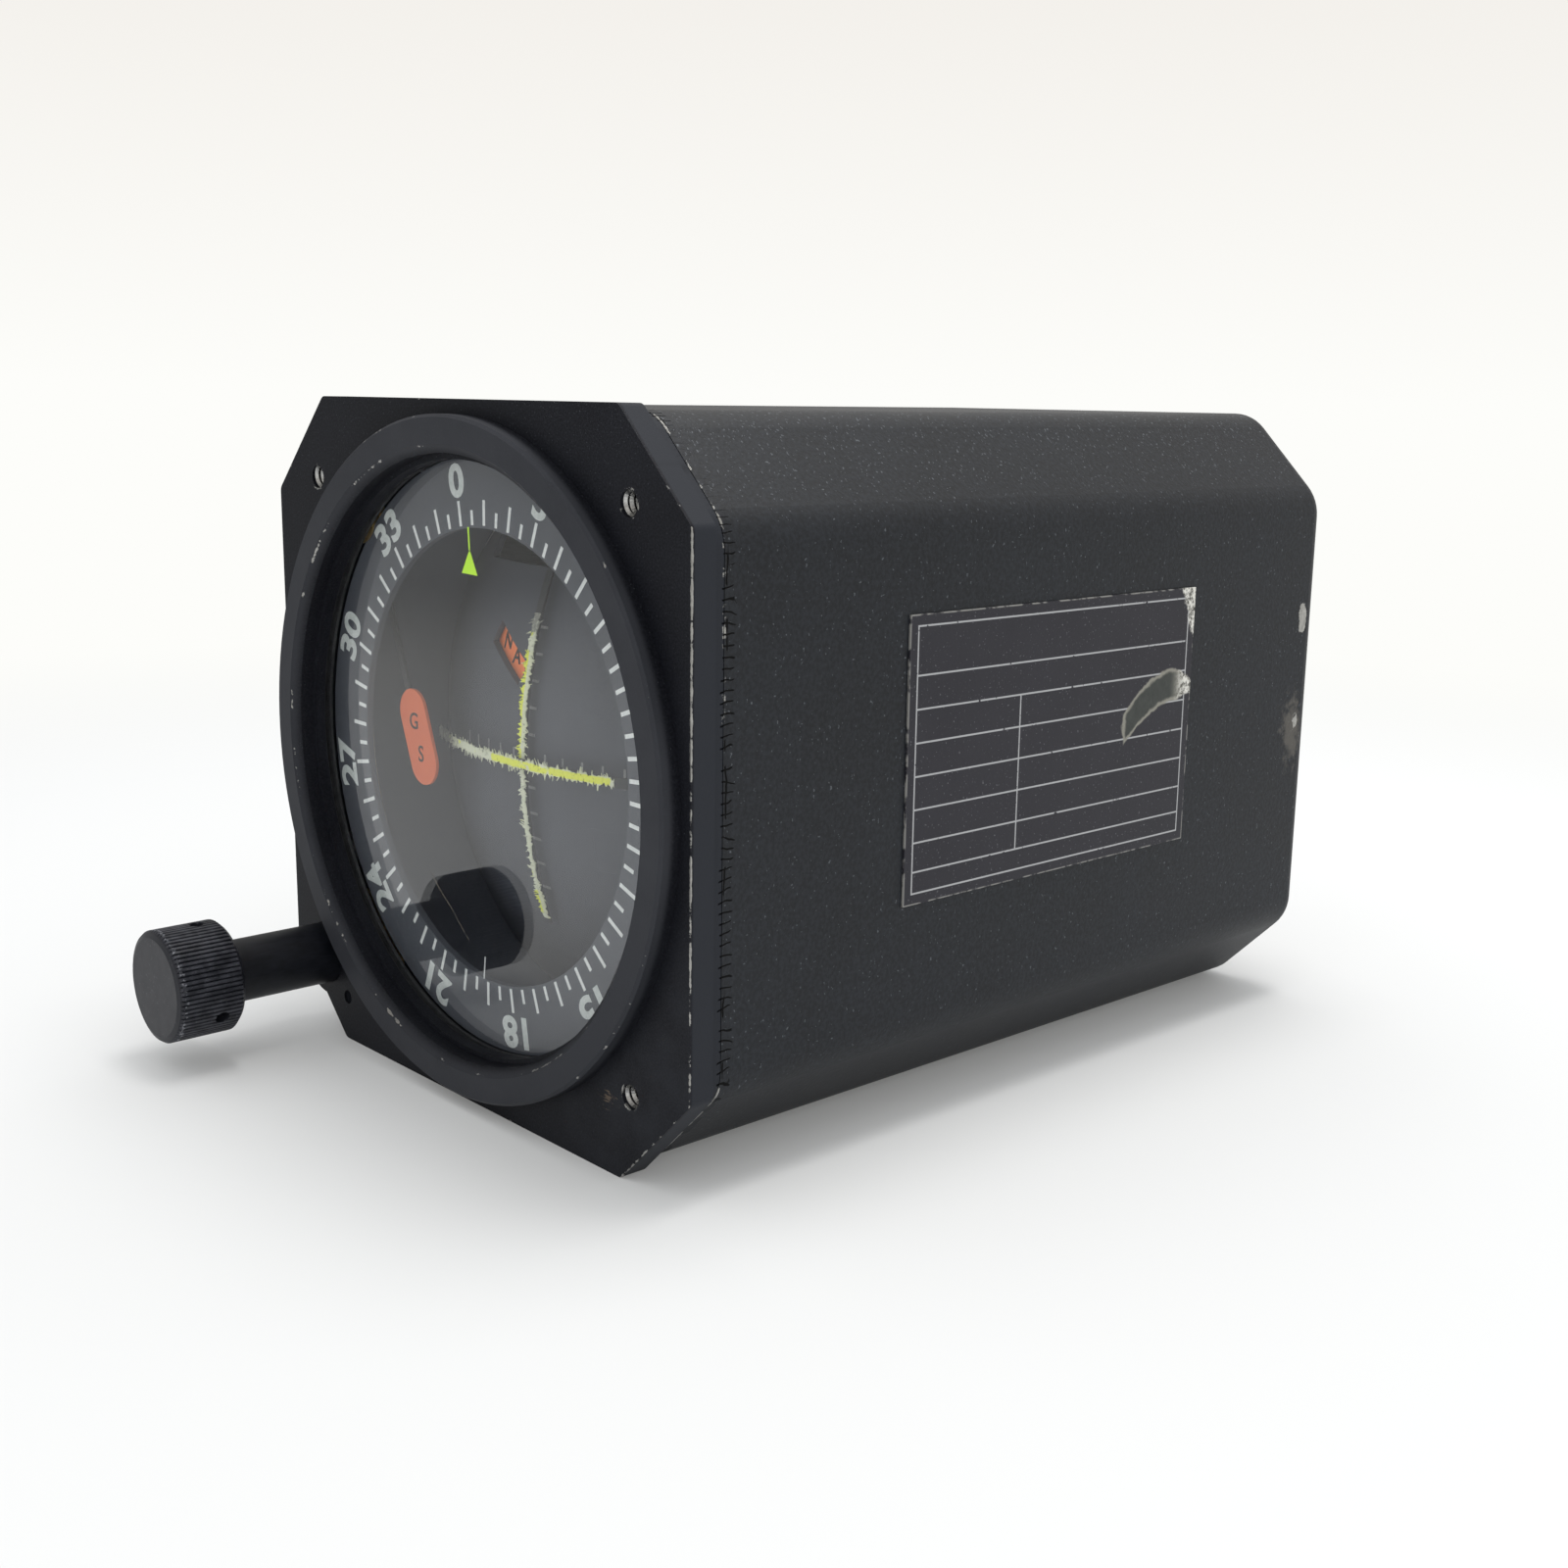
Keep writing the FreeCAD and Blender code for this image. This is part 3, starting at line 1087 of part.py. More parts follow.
rear_plate_rear = "(case_rear - case_wall)"
rear_plate_front = f"({rear_plate_rear} - rear_plate_thickness)"
pillars = []
screws = []
for across, up in pillar_places:
    x, z = size(across), size(up)
    front, rear = size("flange_thickness"), size(rear_plate_front)
    post = rod(size("pillar_radius"), front, rear, x, z)
    post = post.fuse(rod(size("stud_radius"), pin_front, front, x, z))
    post = post.cut(rod(size("screw_radius"), rear - size("screw_reach + screw_end_gap"), rear, x, z))
    pillars.append(post)
    head = rod(size("screw_head_radius"), size("case_rear"),
               size("case_rear + screw_head_height"), x, z)
    shank = rod(size("screw_radius"), rear - size("screw_reach"), size("case_rear"), x, z)
    across, deep = size("screw_head_radius"), size("screw_slot")
    slot = block((x - across, x + across), (head.BoundBox.YMax - deep, head.BoundBox.YMax),
                 (z - deep / 2, z + deep / 2))
    screws.append(head.fuse(shank).cut(turned_about(vector(x, 0, z), vector(0, 1, 0), slot, 2.3 * x)))
free_part("chassis_pillars", Part.makeCompound(pillars))
free_part("rear_screws", Part.makeCompound(screws))

# Case: a drawn can with rounded edges, open at the front


def make_case():
    body = document.addObject("PartDesign::Body", "Body")
    front = "(shoulder_rear + case_gap)"
    sketch = new_sketch(body, "XZ_Plane", front)
    draw_outline(sketch, octagon("case_width", "case_cut"))
    can = add_pad(body, sketch, f"case_rear - {front}")
    can = add_fillet(body, can, edges_along_y(can.Shape), "case_round")
    back = size("case_rear")
    names = []
    for index, edge in enumerate(can.Shape.Edges, start=1):
        if all(abs(vertex.Point.y - back) < 1e-6 for vertex in edge.Vertexes):
            names.append(f"Edge{index}")
    can = add_fillet(body, can, names, "rear_round")
    mouth = size(front)
    faces = []
    for index, face in enumerate(can.Shape.Faces, start=1):
        if abs(face.CenterOfMass.y - mouth) < 1e-6:
            faces.append(f"Face{index}")
    hollow = body.newObject("PartDesign::Thickness", "Thickness")
    hollow.Base = (can, faces)
    hollow.setExpression("Value", bound("case_wall"))
    hollow.Reversed = True
    document.recompute()
    sketch = new_sketch(body, "XZ_Plane", "case_rear - 2 * case_wall")
    draw_outline(sketch, octagon("rear_opening", "rear_opening_cut"))
    for across, up in pillar_places:
        draw_circle(sketch, across, up, "screw_radius + screw_clearance")
    add_pocket(body, sketch, "3 * case_wall")
    return keep(body, "case")


make_case()

# Rear plate, connector and data plate


def trapezoid(width, height, taper, inset="0"):
    """The connector's D-shaped outline, wide side up, moved inwards by an inset."""
    wide = f"({width} / 2 - ({inset}))"
    narrow = f"({wide} - {taper})"
    tall = f"({height} / 2 - ({inset}))"
    return [(f"-{narrow}", f"connector_z - {tall}"), (narrow, f"connector_z - {tall}"),
            (wide, f"connector_z + {tall}"), (f"-{wide}", f"connector_z + {tall}")]


jack_places = [("-jack_pitch / 2", "connector_z"), ("jack_pitch / 2", "connector_z")]
jack_clear = [(across, up, "jack_hole_radius + screw_clearance") for across, up in jack_places]
screw_holes = [(across, up, "screw_radius + screw_clearance") for across, up in pillar_places]
shell_hole = trapezoid("shell_width", "shell_height", "shell_taper", "shell_wall")
plate("rear_plate", rear_plate_front, "rear_plate_thickness",
      [octagon("case_width", "case_cut", "rear_plate_margin"), shell_hole],
      screw_holes + jack_clear)


def make_connector():
    body = document.addObject("PartDesign::Body", "Body")
    half = "connector_width / 2"
    low, high = "connector_z - connector_height / 2", "connector_z + connector_height / 2"
    sketch = new_sketch(body, "XZ_Plane", rear_plate_rear)
    draw_outline(sketch, rectangle(f"-{half}", half, low, high))
    draw_outline(sketch, shell_hole)
    for across, up, radius in jack_clear:
        draw_circle(sketch, across, up, radius)
    flange = add_pad(body, sketch, "connector_flange")
    corners = []
    for name in edges_along_y(flange.Shape):
        point = flange.Shape.getElement(name).Vertexes[0].Point
        if abs(abs(point.x) - size(half)) < 1e-6:
            corners.append(name)
    add_fillet(body, flange, corners, "shell_round")
    sketch = new_sketch(body, "XZ_Plane", f"{rear_plate_rear} + connector_flange")
    draw_outline(sketch, trapezoid("shell_width", "shell_height", "shell_taper"))
    draw_outline(sketch, shell_hole)
    add_pad(body, sketch, "shell_length")
    return keep(body, "rear_connector")


make_connector()
insert_front = "(board_depth + board_pitch + board_thickness + insert_tail)"
insert_rear = f"({rear_plate_rear} + connector_flange + insert_recess)"
plate("connector_insert", insert_front, f"{insert_rear} - {insert_front}",
      [trapezoid("shell_width", "shell_height", "shell_taper", "shell_wall")], [])
contacts = []
pin_columns = int(size("pin_columns"))
for count, row in ((pin_columns, "connector_z + pin_row"), (pin_columns - 1, "connector_z - pin_row")):
    for index in range(count):
        x = (index - (count - 1) / 2) * size("pin_pitch")
        contacts.append(rod(size("pin_radius"), size(insert_rear), size(f"{insert_rear} + pin_length"),
                            x, size(row)))
free_part("connector_pins", Part.makeCompound(contacts))


def jack_socket(x, z):
    """A hexagon socket with a stud through the connector's flange and the rear plate."""
    start = size(f"{rear_plate_rear} + connector_flange")
    across = size("jack_width") / math.sqrt(3)
    points = []
    for turn in range(6):
        angle = math.radians(60 * turn + 30)
        points.append((x + across * math.cos(angle), z + across * math.sin(angle)))
    body = plate_from(points, start, start + size("jack_length"))
    body = body.fuse(rod(size("jack_hole_radius"), size(rear_plate_front), start, x, z))
    end = start + size("jack_length")
    return body.cut(rod(size("jack_hole_radius"), end - size("jack_hole_depth"), end, x, z))


sockets = [jack_socket(size(across), size(up)) for across, up in jack_places]
free_part("jack_sockets", Part.makeCompound(sockets))
label_plate = document.addObject("Part::Box", "Box")
label_plate.setExpression("Length", bound("data_plate_thickness"))
label_plate.setExpression("Width", bound("data_plate_length"))
label_plate.setExpression("Height", bound("data_plate_height"))
label_plate.setExpression("Placement.Base.x", bound("case_width / 2"))
label_plate.setExpression("Placement.Base.y", bound("data_plate_front"))
label_plate.setExpression("Placement.Base.z", bound("data_plate_z - data_plate_height / 2"))
keep(label_plate, "data_plate")

# Checks and export

document.recompute()
for item in document.Objects:
    if "Invalid" in item.State or "Error" in item.State:
        raise RuntimeError(f"{item.Label} is not valid")
os.makedirs("parts", exist_ok=True)
for node in nodes:
    if node.Shape.isNull() or not node.Shape.isValid():
        raise RuntimeError(f"{node.Label} has no valid shape")
    node.Shape.exportStep(f"parts/{node.Label}.step")
    box = node.Shape.BoundBox
    print(f"{node.Label:20s} {len(node.Shape.Solids)} x {box.XMin:7.2f} {box.XMax:7.2f}"
          f" y {box.YMin:7.2f} {box.YMax:7.2f} z {box.ZMin:7.2f} {box.ZMax:7.2f}")
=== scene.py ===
import logging
import math
import random
from abc import ABC, abstractmethod
from dataclasses import dataclass
from enum import Enum

import bmesh
import bpy
from mathutils import Matrix, Vector


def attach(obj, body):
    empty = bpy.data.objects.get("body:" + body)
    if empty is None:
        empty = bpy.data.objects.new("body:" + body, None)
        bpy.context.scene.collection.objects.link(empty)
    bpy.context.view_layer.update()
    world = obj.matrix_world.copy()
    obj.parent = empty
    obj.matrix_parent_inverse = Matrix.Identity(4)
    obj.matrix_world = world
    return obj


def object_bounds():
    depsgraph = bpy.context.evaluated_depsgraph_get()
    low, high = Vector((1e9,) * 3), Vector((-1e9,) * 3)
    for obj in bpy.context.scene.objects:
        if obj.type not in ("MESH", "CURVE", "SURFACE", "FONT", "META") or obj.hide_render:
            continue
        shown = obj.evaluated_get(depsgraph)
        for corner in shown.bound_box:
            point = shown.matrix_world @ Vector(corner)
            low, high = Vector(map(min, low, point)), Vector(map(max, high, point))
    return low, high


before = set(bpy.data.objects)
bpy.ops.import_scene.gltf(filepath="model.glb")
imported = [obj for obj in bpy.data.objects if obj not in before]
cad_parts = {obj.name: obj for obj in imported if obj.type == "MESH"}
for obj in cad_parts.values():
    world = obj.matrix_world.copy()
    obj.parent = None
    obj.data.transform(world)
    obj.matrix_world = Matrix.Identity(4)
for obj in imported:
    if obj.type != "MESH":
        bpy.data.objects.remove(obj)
CAD_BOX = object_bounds()
LOG = logging.getLogger("navigation_indicator")
MM = 0.001
PER_METRE = 1 / MM

# Places in millimetres that several parts share. X runs to the right, Y to the rear, Z up.
FLANGE_HALF = round(float(CAD_BOX[1][0]) / MM, 3)
CORNER_REACH = 2 * FLANGE_HALF - 11.63
SCREW_REACH = 31.435
DIAL_Y = 70.0
DIAL_Z = -0.8

Color = tuple[float, float, float]
Pair = tuple[float, float]


def linear(red: int, green: int, blue: int) -> Color:
    """Turns a colour as a screen shows it into the renderer's linear values.

    Args:
        red: Red from 0 to 255.
        green: Green from 0 to 255.
        blue: Blue from 0 to 255.

    Returns:
        The three linear values.
    """
    shares = (red / 255, green / 255, blue / 255)
    return tuple(s / 12.92 if s <= 0.04045 else ((s + 0.055) / 1.055) ** 2.4 for s in shares)


class Value:
    """One number that a shader works out, with Python's operators."""

    def __init__(self, shader: "Shader", socket: bpy.types.NodeSocket) -> None:
        """Wraps a socket.

        Args:
            shader: The node tree the socket belongs to.
            socket: The output socket.
        """
        self.shader = shader
        self.socket = socket

    def _math(self, operation: str, first: object, second: object = None) -> "Value":
        """Adds one Math node and returns its result."""
        inputs = {0: first} if second is None else {0: first, 1: second}
        return self.shader.node("ShaderNodeMath", {"operation": operation}, inputs)

    def __add__(self, other: object) -> "Value":
        """Sum."""
        return self._math("ADD", self, other)

    def __radd__(self, other: object) -> "Value":
        """Sum with a number on the left."""
        return self._math("ADD", other, self)

    def __sub__(self, other: object) -> "Value":
        """Difference."""
        return self._math("SUBTRACT", self, other)

    def __rsub__(self, other: object) -> "Value":
        """Difference from a number on the left."""
        return self._math("SUBTRACT", other, self)

    def __mul__(self, other: object) -> "Value":
        """Product."""
        return self._math("MULTIPLY", self, other)

    def __rmul__(self, other: object) -> "Value":
        """Product with a number on the left."""
        return self._math("MULTIPLY", other, self)

    def __truediv__(self, other: object) -> "Value":
        """Quotient."""
        return self._math("DIVIDE", self, other)

    def __pow__(self, other: object) -> "Value":
        """Power."""
        return self._math("POWER", self, other)

    def __abs__(self) -> "Value":
        """Size without the sign."""
        return self._math("ABSOLUTE", self)

    def fraction(self) -> "Value":
        """What is left above the whole number."""
        return self._math("FRACT", self)

    def highest(self, other: object) -> "Value":
        """The greater of two numbers."""
        return self._math("MAXIMUM", self, other)

    def lowest(self, other: object) -> "Value":
        """The smaller of two numbers."""
        return self._math("MINIMUM", self, other)

    def ramp(self, low: float, high: float, kind: str = "SMOOTHSTEP") -> "Value":
        """Rises from nought at one limit to one at the other, and stays there.

        Args:
            low: Where the result is nought.
            high: Where the result is one; it may be the smaller limit.
            kind: How it rises, as the Map Range node calls it.

        Returns:
            The clamped share.
        """
        inputs = {"Value": self, "From Min": low, "From Max": high}
        return self.shader.node("ShaderNodeMapRange", {"interpolation_type": kind}, inputs)


class Shader:
    """A material's node tree under construction."""

    output_kind = "ShaderNodeOutputMaterial"

    def __init__(self, name: str) -> None:
        """Makes an empty node tree.

        Args:
            name: The material's name.
        """
        self.owner = self._make_owner(name)
        self.owner.use_nodes = True
        self.tree = self.owner.node_tree
        self.tree.nodes.clear()
        self.output = self.tree.nodes.new(self.output_kind)
        self._places: dict[str, Value] = {}

    def _make_owner(self, name: str) -> bpy.types.ID:
        """Makes what the node tree belongs to."""
        return bpy.data.materials.new(name)

    def node(self, kind: str, settings: dict, inputs: dict, output: object = 0) -> Value:
        """Adds one node.

        Args:
            kind: The node's Blender type.
            settings: Properties that are set first.
            inputs: Numbers, colours or values by input name or index.
            output: Name or index of the output that is returned.

        Returns:
            The chosen output.
        """
        item = self.tree.nodes.new(kind)
        for key, setting in settings.items():
            setattr(item, key, setting)
        for key, value in inputs.items():
            self._feed(item.inputs[key], value)
        return Value(self, item.outputs[output])

    def _feed(self, socket: bpy.types.NodeSocket, value: object) -> None:
        """Links or sets an input socket.

        Args:
            socket: The input.
            value: A value to link, or a number or colour to set.
        """
        if isinstance(value, Value):
            self.tree.links.new(value.socket, socket)
            return
        if socket.type == "RGBA" and len(value) == 3:
            value = (*value, 1.0)
        socket.default_value = value

    def place(self) -> Value:
        """The point on the object in metres, in the frame's own axes."""
        if "place" not in self._places:
            self._places["place"] = self.node("ShaderNodeTexCoord", {}, {}, "Object")
        return self._places["place"]

    def along(self, axis: str) -> Value:
        """One coordinate of the point on the object.

        Args:
            axis: X, Y or Z.

        Returns:
            The coordinate in millimetres.
        """
        if axis not in self._places:
            part = self.node("ShaderNodeSeparateXYZ", {}, {"Vector": self.place()}, axis)
            self._places[axis] = part * PER_METRE
        return self._places[axis]

    def axes(self) -> tuple[Value, Value, Value]:
        """All three coordinates of the point on the object in millimetres."""
        return self.along("X"), self.along("Y"), self.along("Z")

    def radius(self, x: float = 0.0, z: float = 0.0) -> Value:
        """Distance from a line that runs from front to rear.

        Args:
            x: The line's place sideways in millimetres.
            z: The line's height in millimetres.

        Returns:
            The distance in millimetres.
        """
        across, up = self.along("X") - x, self.along("Z") - z
        return (across * across + up * up) ** 0.5

    def scaled(self, x: float, y: float, z: float) -> Value:
        """The point on the object with each axis multiplied."""
        settings = {"operation": "MULTIPLY"}
        return self.node("ShaderNodeVectorMath", settings, {0: self.place(), 1: (x, y, z)})

    def noise(self, size_mm: float, detail: float = 3.0, roughness: float = 0.5,
              place: object = None) -> Value:
        """Cloudy noise about one half.

        Args:
            size_mm: Size of its clouds.
            detail: Number of finer layers.
            roughness: Strength of the finer layers.
            place: A changed position, or nothing for the object's own.

        Returns:
            The noise from nought to one.
        """
        inputs = {"Vector": place or self.place(), "Scale": PER_METRE / size_mm,
                  "Detail": detail, "Roughness": roughness}
        return self.node("ShaderNodeTexNoise", {}, inputs, "Fac")

    def mixed(self, share: object, first: object, second: object) -> Value:
        """A colour between two colours."""
        return self.node("ShaderNodeMix", {"data_type": "RGBA"}, {0: share, 6: first, 7: second}, 2)

    def bump(self, height: Value, strength: float, depth_mm: float) -> Value:
        """A normal bent by a height."""
        inputs = {"Height": height, "Strength": strength, "Distance": depth_mm * MM}
        return self.node("ShaderNodeBump", {}, inputs)

    def surface(self, **inputs: object) -> Value:
        """A Principled surface; words stand for its input names with underscores."""
        named = {key.replace("_", " "): value for key, value in inputs.items()}
        return self.node("ShaderNodeBsdfPrincipled", {}, named)

    def emission(self, color: object) -> Value:
        """A surface that only glows."""
        return self.node("ShaderNodeEmission", {}, {"Color": color, "Strength": 1.0})

    def blend(self, share: object, first: Value, second: Value) -> Value:
        """A surface between two surfaces."""
        return self.node("ShaderNodeMixShader", {}, {0: share, 1: first, 2: second})

    def ray(self, *names: str) -> Value:
        """Tells rays apart.

        Args:
            *names: Outputs of the Light Path node.

        Returns:
            One where the ray is of one of these kinds, else nought.
        """
        found = [self.node("ShaderNodeLightPath", {}, {}, name) for name in names]
        most = found[0]
        for kind in found[1:]:
            most = most.highest(kind)
        return most

    def done(self, surface: Value) -> bpy.types.ID:
        """Joins the surface to the output and gives the material."""
        self.tree.links.new(surface.socket, self.output.inputs["Surface"])
        return self.owner


class WorldShader(Shader):
    """The world's node tree under construction."""

    output_kind = "ShaderNodeOutputWorld"

    def _make_owner(self, name: str) -> bpy.types.ID:
        """Makes the world."""
        return bpy.data.worlds.new(name)


def oval(across: Value, up: Value, half_across: float, half_up: float) -> Value:
    """How far out a point lies from the middle of an oval.

    Args:
        across: Distance from the middle one way.
        up: Distance from the middle the other way.
        half_across: Half of the oval's size one way.
        half_up: Half of the oval's size the other way.

    Returns:
        Nought in the middle and one on the edge.
    """
    return ((across / half_across) ** 2.0 + (up / half_up) ** 2.0) ** 0.5


class Finish(ABC):
    """What a surface is made of and how it looks."""

    @abstractmethod
    def build(self) -> bpy.types.Material:
        """Makes the material."""


@dataclass(frozen=True)
class TexturedPaint(Finish):
    """Sprayed black paint with a fine grain, pale dust specks, nicks and worn edges."""

    name: str
    color: Color
    grain_mm: float
    grain_depth_mm: float
    roughness: float
    speck_share: float
    sheen: float
    dust_strength: float
    dust_color: Color = linear(120, 125, 130)
    bare_dark: Color = linear(104, 103, 101)
    bare_bright: Color = linear(190, 189, 184)
    dusty_height: Pair = (26.0, 38.0)
    seam_y: float = 5.3
    nick_pitch: float = 1.15

    def build(self) -> bpy.types.Material:
        """Makes the paint.

        Returns:
            The material.
        """
        shader = Shader(self.name)
        grain = shader.noise(self.grain_mm, 2.0, 0.6)
        cloud = shader.noise(14.0, 3.0)
        light = tuple(min(1.0, c * 1.75 + 0.004) for c in self.color)
        dark = tuple(c * 0.72 for c in self.color)
        base = shader.mixed(grain.ramp(0.35, 0.68) * 0.55 + cloud.ramp(0.3, 0.7) * 0.25, dark, light)
        speck = shader.noise(self.grain_mm * 0.8, 1.0, 0.5, shader.scaled(1.0, 1.13, 0.91))
        upward = shader.along("Z").ramp(*self.dusty_height) * 0.05
        dust = (speck + upward).ramp(self.speck_share, self.speck_share + 0.05)
        base = shader.mixed(dust * self.dust_strength, base, self.dust_color)
        base = self._tinted(shader, base)
        bare = self._bare(shader, shader.noise(1.7, 4.0, 0.65), shader.noise(9.0, 2.0))
        shine = shader.mixed(shader.noise(0.8, 3.0), self.bare_dark, self.bare_bright)
        base = shader.mixed(bare, base, shine)
        nick = self._seam_nicks(shader)
        base = shader.mixed(nick, base, (0.0, 0.0, 0.0))
        rough = self.roughness + 0.12 * (cloud - 0.5) - bare * 0.22 + nick * 0.5
        normal = shader.bump(grain - bare * 0.6 - nick * 2.5, 0.5, self.grain_depth_mm)
        return shader.done(shader.surface(Base_Color=base, Roughness=rough, Metallic=bare * 0.85,
                                          Normal=normal, Specular_IOR_Level=self.sheen))

    @abstractmethod
    def _tinted(self, shader: Shader, base: Value) -> Value:
        """The paint's colour with the rubbed and stained places and any painted light on it."""

    @abstractmethod
    def _bare(self, shader: Shader, chips: Value, patches: Value) -> Value:
        """Where the paint has chipped through to the metal."""

    def _seam_nicks(self, shader: Shader) -> Value:
        """Short dark nicks that run across the seam between flange and case.

        Args:
            shader: The paint's node tree.

        Returns:
            One in a nick, else nought.
        """
        x, y, z = shader.axes()
        uneven = shader.noise(3.0, 2.0)
        off_seam = y - self.seam_y
        around = (z - x + off_seam * (uneven - 0.5) * 1.6 + uneven * 0.9) / self.nick_pitch
        nick = abs(around.fraction() - 0.5)
        reach = abs(off_seam - (uneven - 0.5) * 1.4).ramp(0.95, 0.7)
        present = shader.noise(2.3, 1.0, 0.5, shader.scaled(1.0, 0.2, 1.0)).ramp(0.36, 0.42)
        joined = abs(off_seam + 0.2 - (uneven - 0.5)).ramp(0.16, 0.08)
        stretch = shader.noise(4.5, 2.0, 0.5, shader.scaled(1.0, 0.1, 1.0)).ramp(0.5, 0.54)
        flat = abs(x).highest(abs(z)).ramp(38.5, 40.0)
        nicks = nick.ramp(0.11, 0.06) * reach * present
        return nicks.highest(joined * stretch) * (flat * 0.8 + 0.15)


@dataclass(frozen=True)
class FlangePaint(TexturedPaint):
    """The flange's paint, rubbed paler on the raised ring and chipped along the edges."""

    name: str = "flange_finish"
    color: Color = linear(20, 21, 26)
    grain_mm: float = 0.25
    grain_depth_mm: float = 0.02
    roughness: float = 0.52
    speck_share: float = 0.72
    sheen: float = 0.1
    dust_strength: float = 0.2
    side_light_color: Color = linear(41, 43, 48)
    ring_color: Color = linear(55, 56, 60)
    lower_right_color: Color = linear(40, 42, 47)
    scrape_color: Color = linear(118, 102, 84)
    scrape_place: Pair = (27.6, -32.9)
    scrape_half: Pair = (2.3, 1.2)
    ring_outer: float = 39.55
    ring_inner: float = 36.2
    ring_front: float = -2.4
    rear_seam: float = 4.72
    hole_rim: float = 1.5
    worn_holes: tuple[Pair, ...] = ((SCREW_REACH, SCREW_REACH), (SCREW_REACH, -SCREW_REACH),
                                    (-SCREW_REACH, SCREW_REACH))

    def _tinted(self, shader: Shader, base: Value) -> Value:
        """Paler paint on the ring, painted light on the side faces, a paler patch towards the lower
        right, and a brown scrape at the lower hole.

        Args:
            shader: The paint's node tree.
            base: The plain paint's colour.

        Returns:
            The colour with these places on it.
        """
        x, y, z = shader.axes()
        radius = shader.radius()
        cloud = shader.noise(6.0, 4.0, 0.6)
        ring = y.ramp(-0.6, -1.6) * radius.ramp(self.ring_outer + 0.45, self.ring_outer + 0.2)
        ring = ring * radius.ramp(self.ring_inner - 1.0, self.ring_inner)
        # painted light: the side faces are painted paler than the front face, standing in for the
        # light they catch
        sides = y.ramp(0.2, 0.5) * abs(x).highest(abs(z)).ramp(34.0, 36.0)
        base = shader.mixed(sides, base, self.side_light_color)
        base = shader.mixed(ring * (cloud * 0.5 + 0.5), base, self.ring_color)
        # a paler cloudy patch towards the lower right of the flange's front
        paler_lower_right = x.ramp(5.0, 35.0) * z.ramp(0.0, -30.0) * cloud.ramp(0.3, 0.7)
        base = shader.mixed(paler_lower_right * 0.5, base, self.lower_right_color)
        streaks = shader.noise(0.9, 4.0, 0.65, shader.scaled(0.4, 1.0, 1.6))
        spot = oval(x - self.scrape_place[0], z - self.scrape_place[1], *self.scrape_half)
        scrape = (streaks - spot * 0.22).ramp(0.36, 0.5) * spot.ramp(1.3, 0.8)
        return shader.mixed(scrape * 0.6, base, self.scrape_color)

    def _bare(self, shader: Shader, chips: Value, patches: Value) -> Value:
        """Chips along the flange's front edge, the raised ring's rims and the holes.

        Args:
            shader: The paint's node tree.
            chips: Fine noise that shapes each chip.
            patches: Coarse noise that gathers the chips.

        Returns:
            One where metal shows, else nought.
        """
        x, y, z = shader.axes()
        ragged = shader.noise(0.55, 3.0, 0.6)
        side = abs(x).highest(abs(z))
        corner = abs(x) + abs(z) - CORNER_REACH
        edge = (side - FLANGE_HALF).highest(corner * math.sqrt(0.5)) + (ragged - 0.5) * 0.35
        near_edge = edge.ramp(-0.42, -0.08) * abs(y).ramp(0.45, 0.1)
        upright_edge = abs(x).ramp(FLANGE_HALF - 0.275, FLANGE_HALF - 0.075)
        cut_edge = corner.ramp(-0.5, 0.0) * abs(y).ramp(0.4, 0.1) * x.ramp(20.0, 30.0)
        seam = abs(y - self.rear_seam).ramp(0.35, 0.1) * side.ramp(39.0, 40.4)
        radius, depth = shader.radius(), y - self.ring_front
        rim = abs(radius - self.ring_outer).ramp(0.4, 0.05) * abs(depth - 0.05).ramp(0.4, 0.1)
        inner = abs(radius - self.ring_inner).ramp(0.35, 0.05) * abs(depth).ramp(0.5, 0.1)
        share = near_edge * (0.44 + upright_edge * x.ramp(10.0, 40.0) * 0.2)
        share = share + cut_edge * z.ramp(10.0, -20.0) * 0.1 + rim * 0.4 + inner * 0.46
        share = share + seam * 0.42
        for hole in self.worn_holes:
            near = abs(shader.radius(*hole) - self.hole_rim).ramp(0.3, 0.1)
            share = share + near * y.ramp(0.5, 0.1) * 0.5
        amount = share + (chips - 0.5) * 0.95 + (patches - 0.5) * 0.6 + (ragged - 0.5) * 0.3
        return amount.ramp(0.55, 0.62)


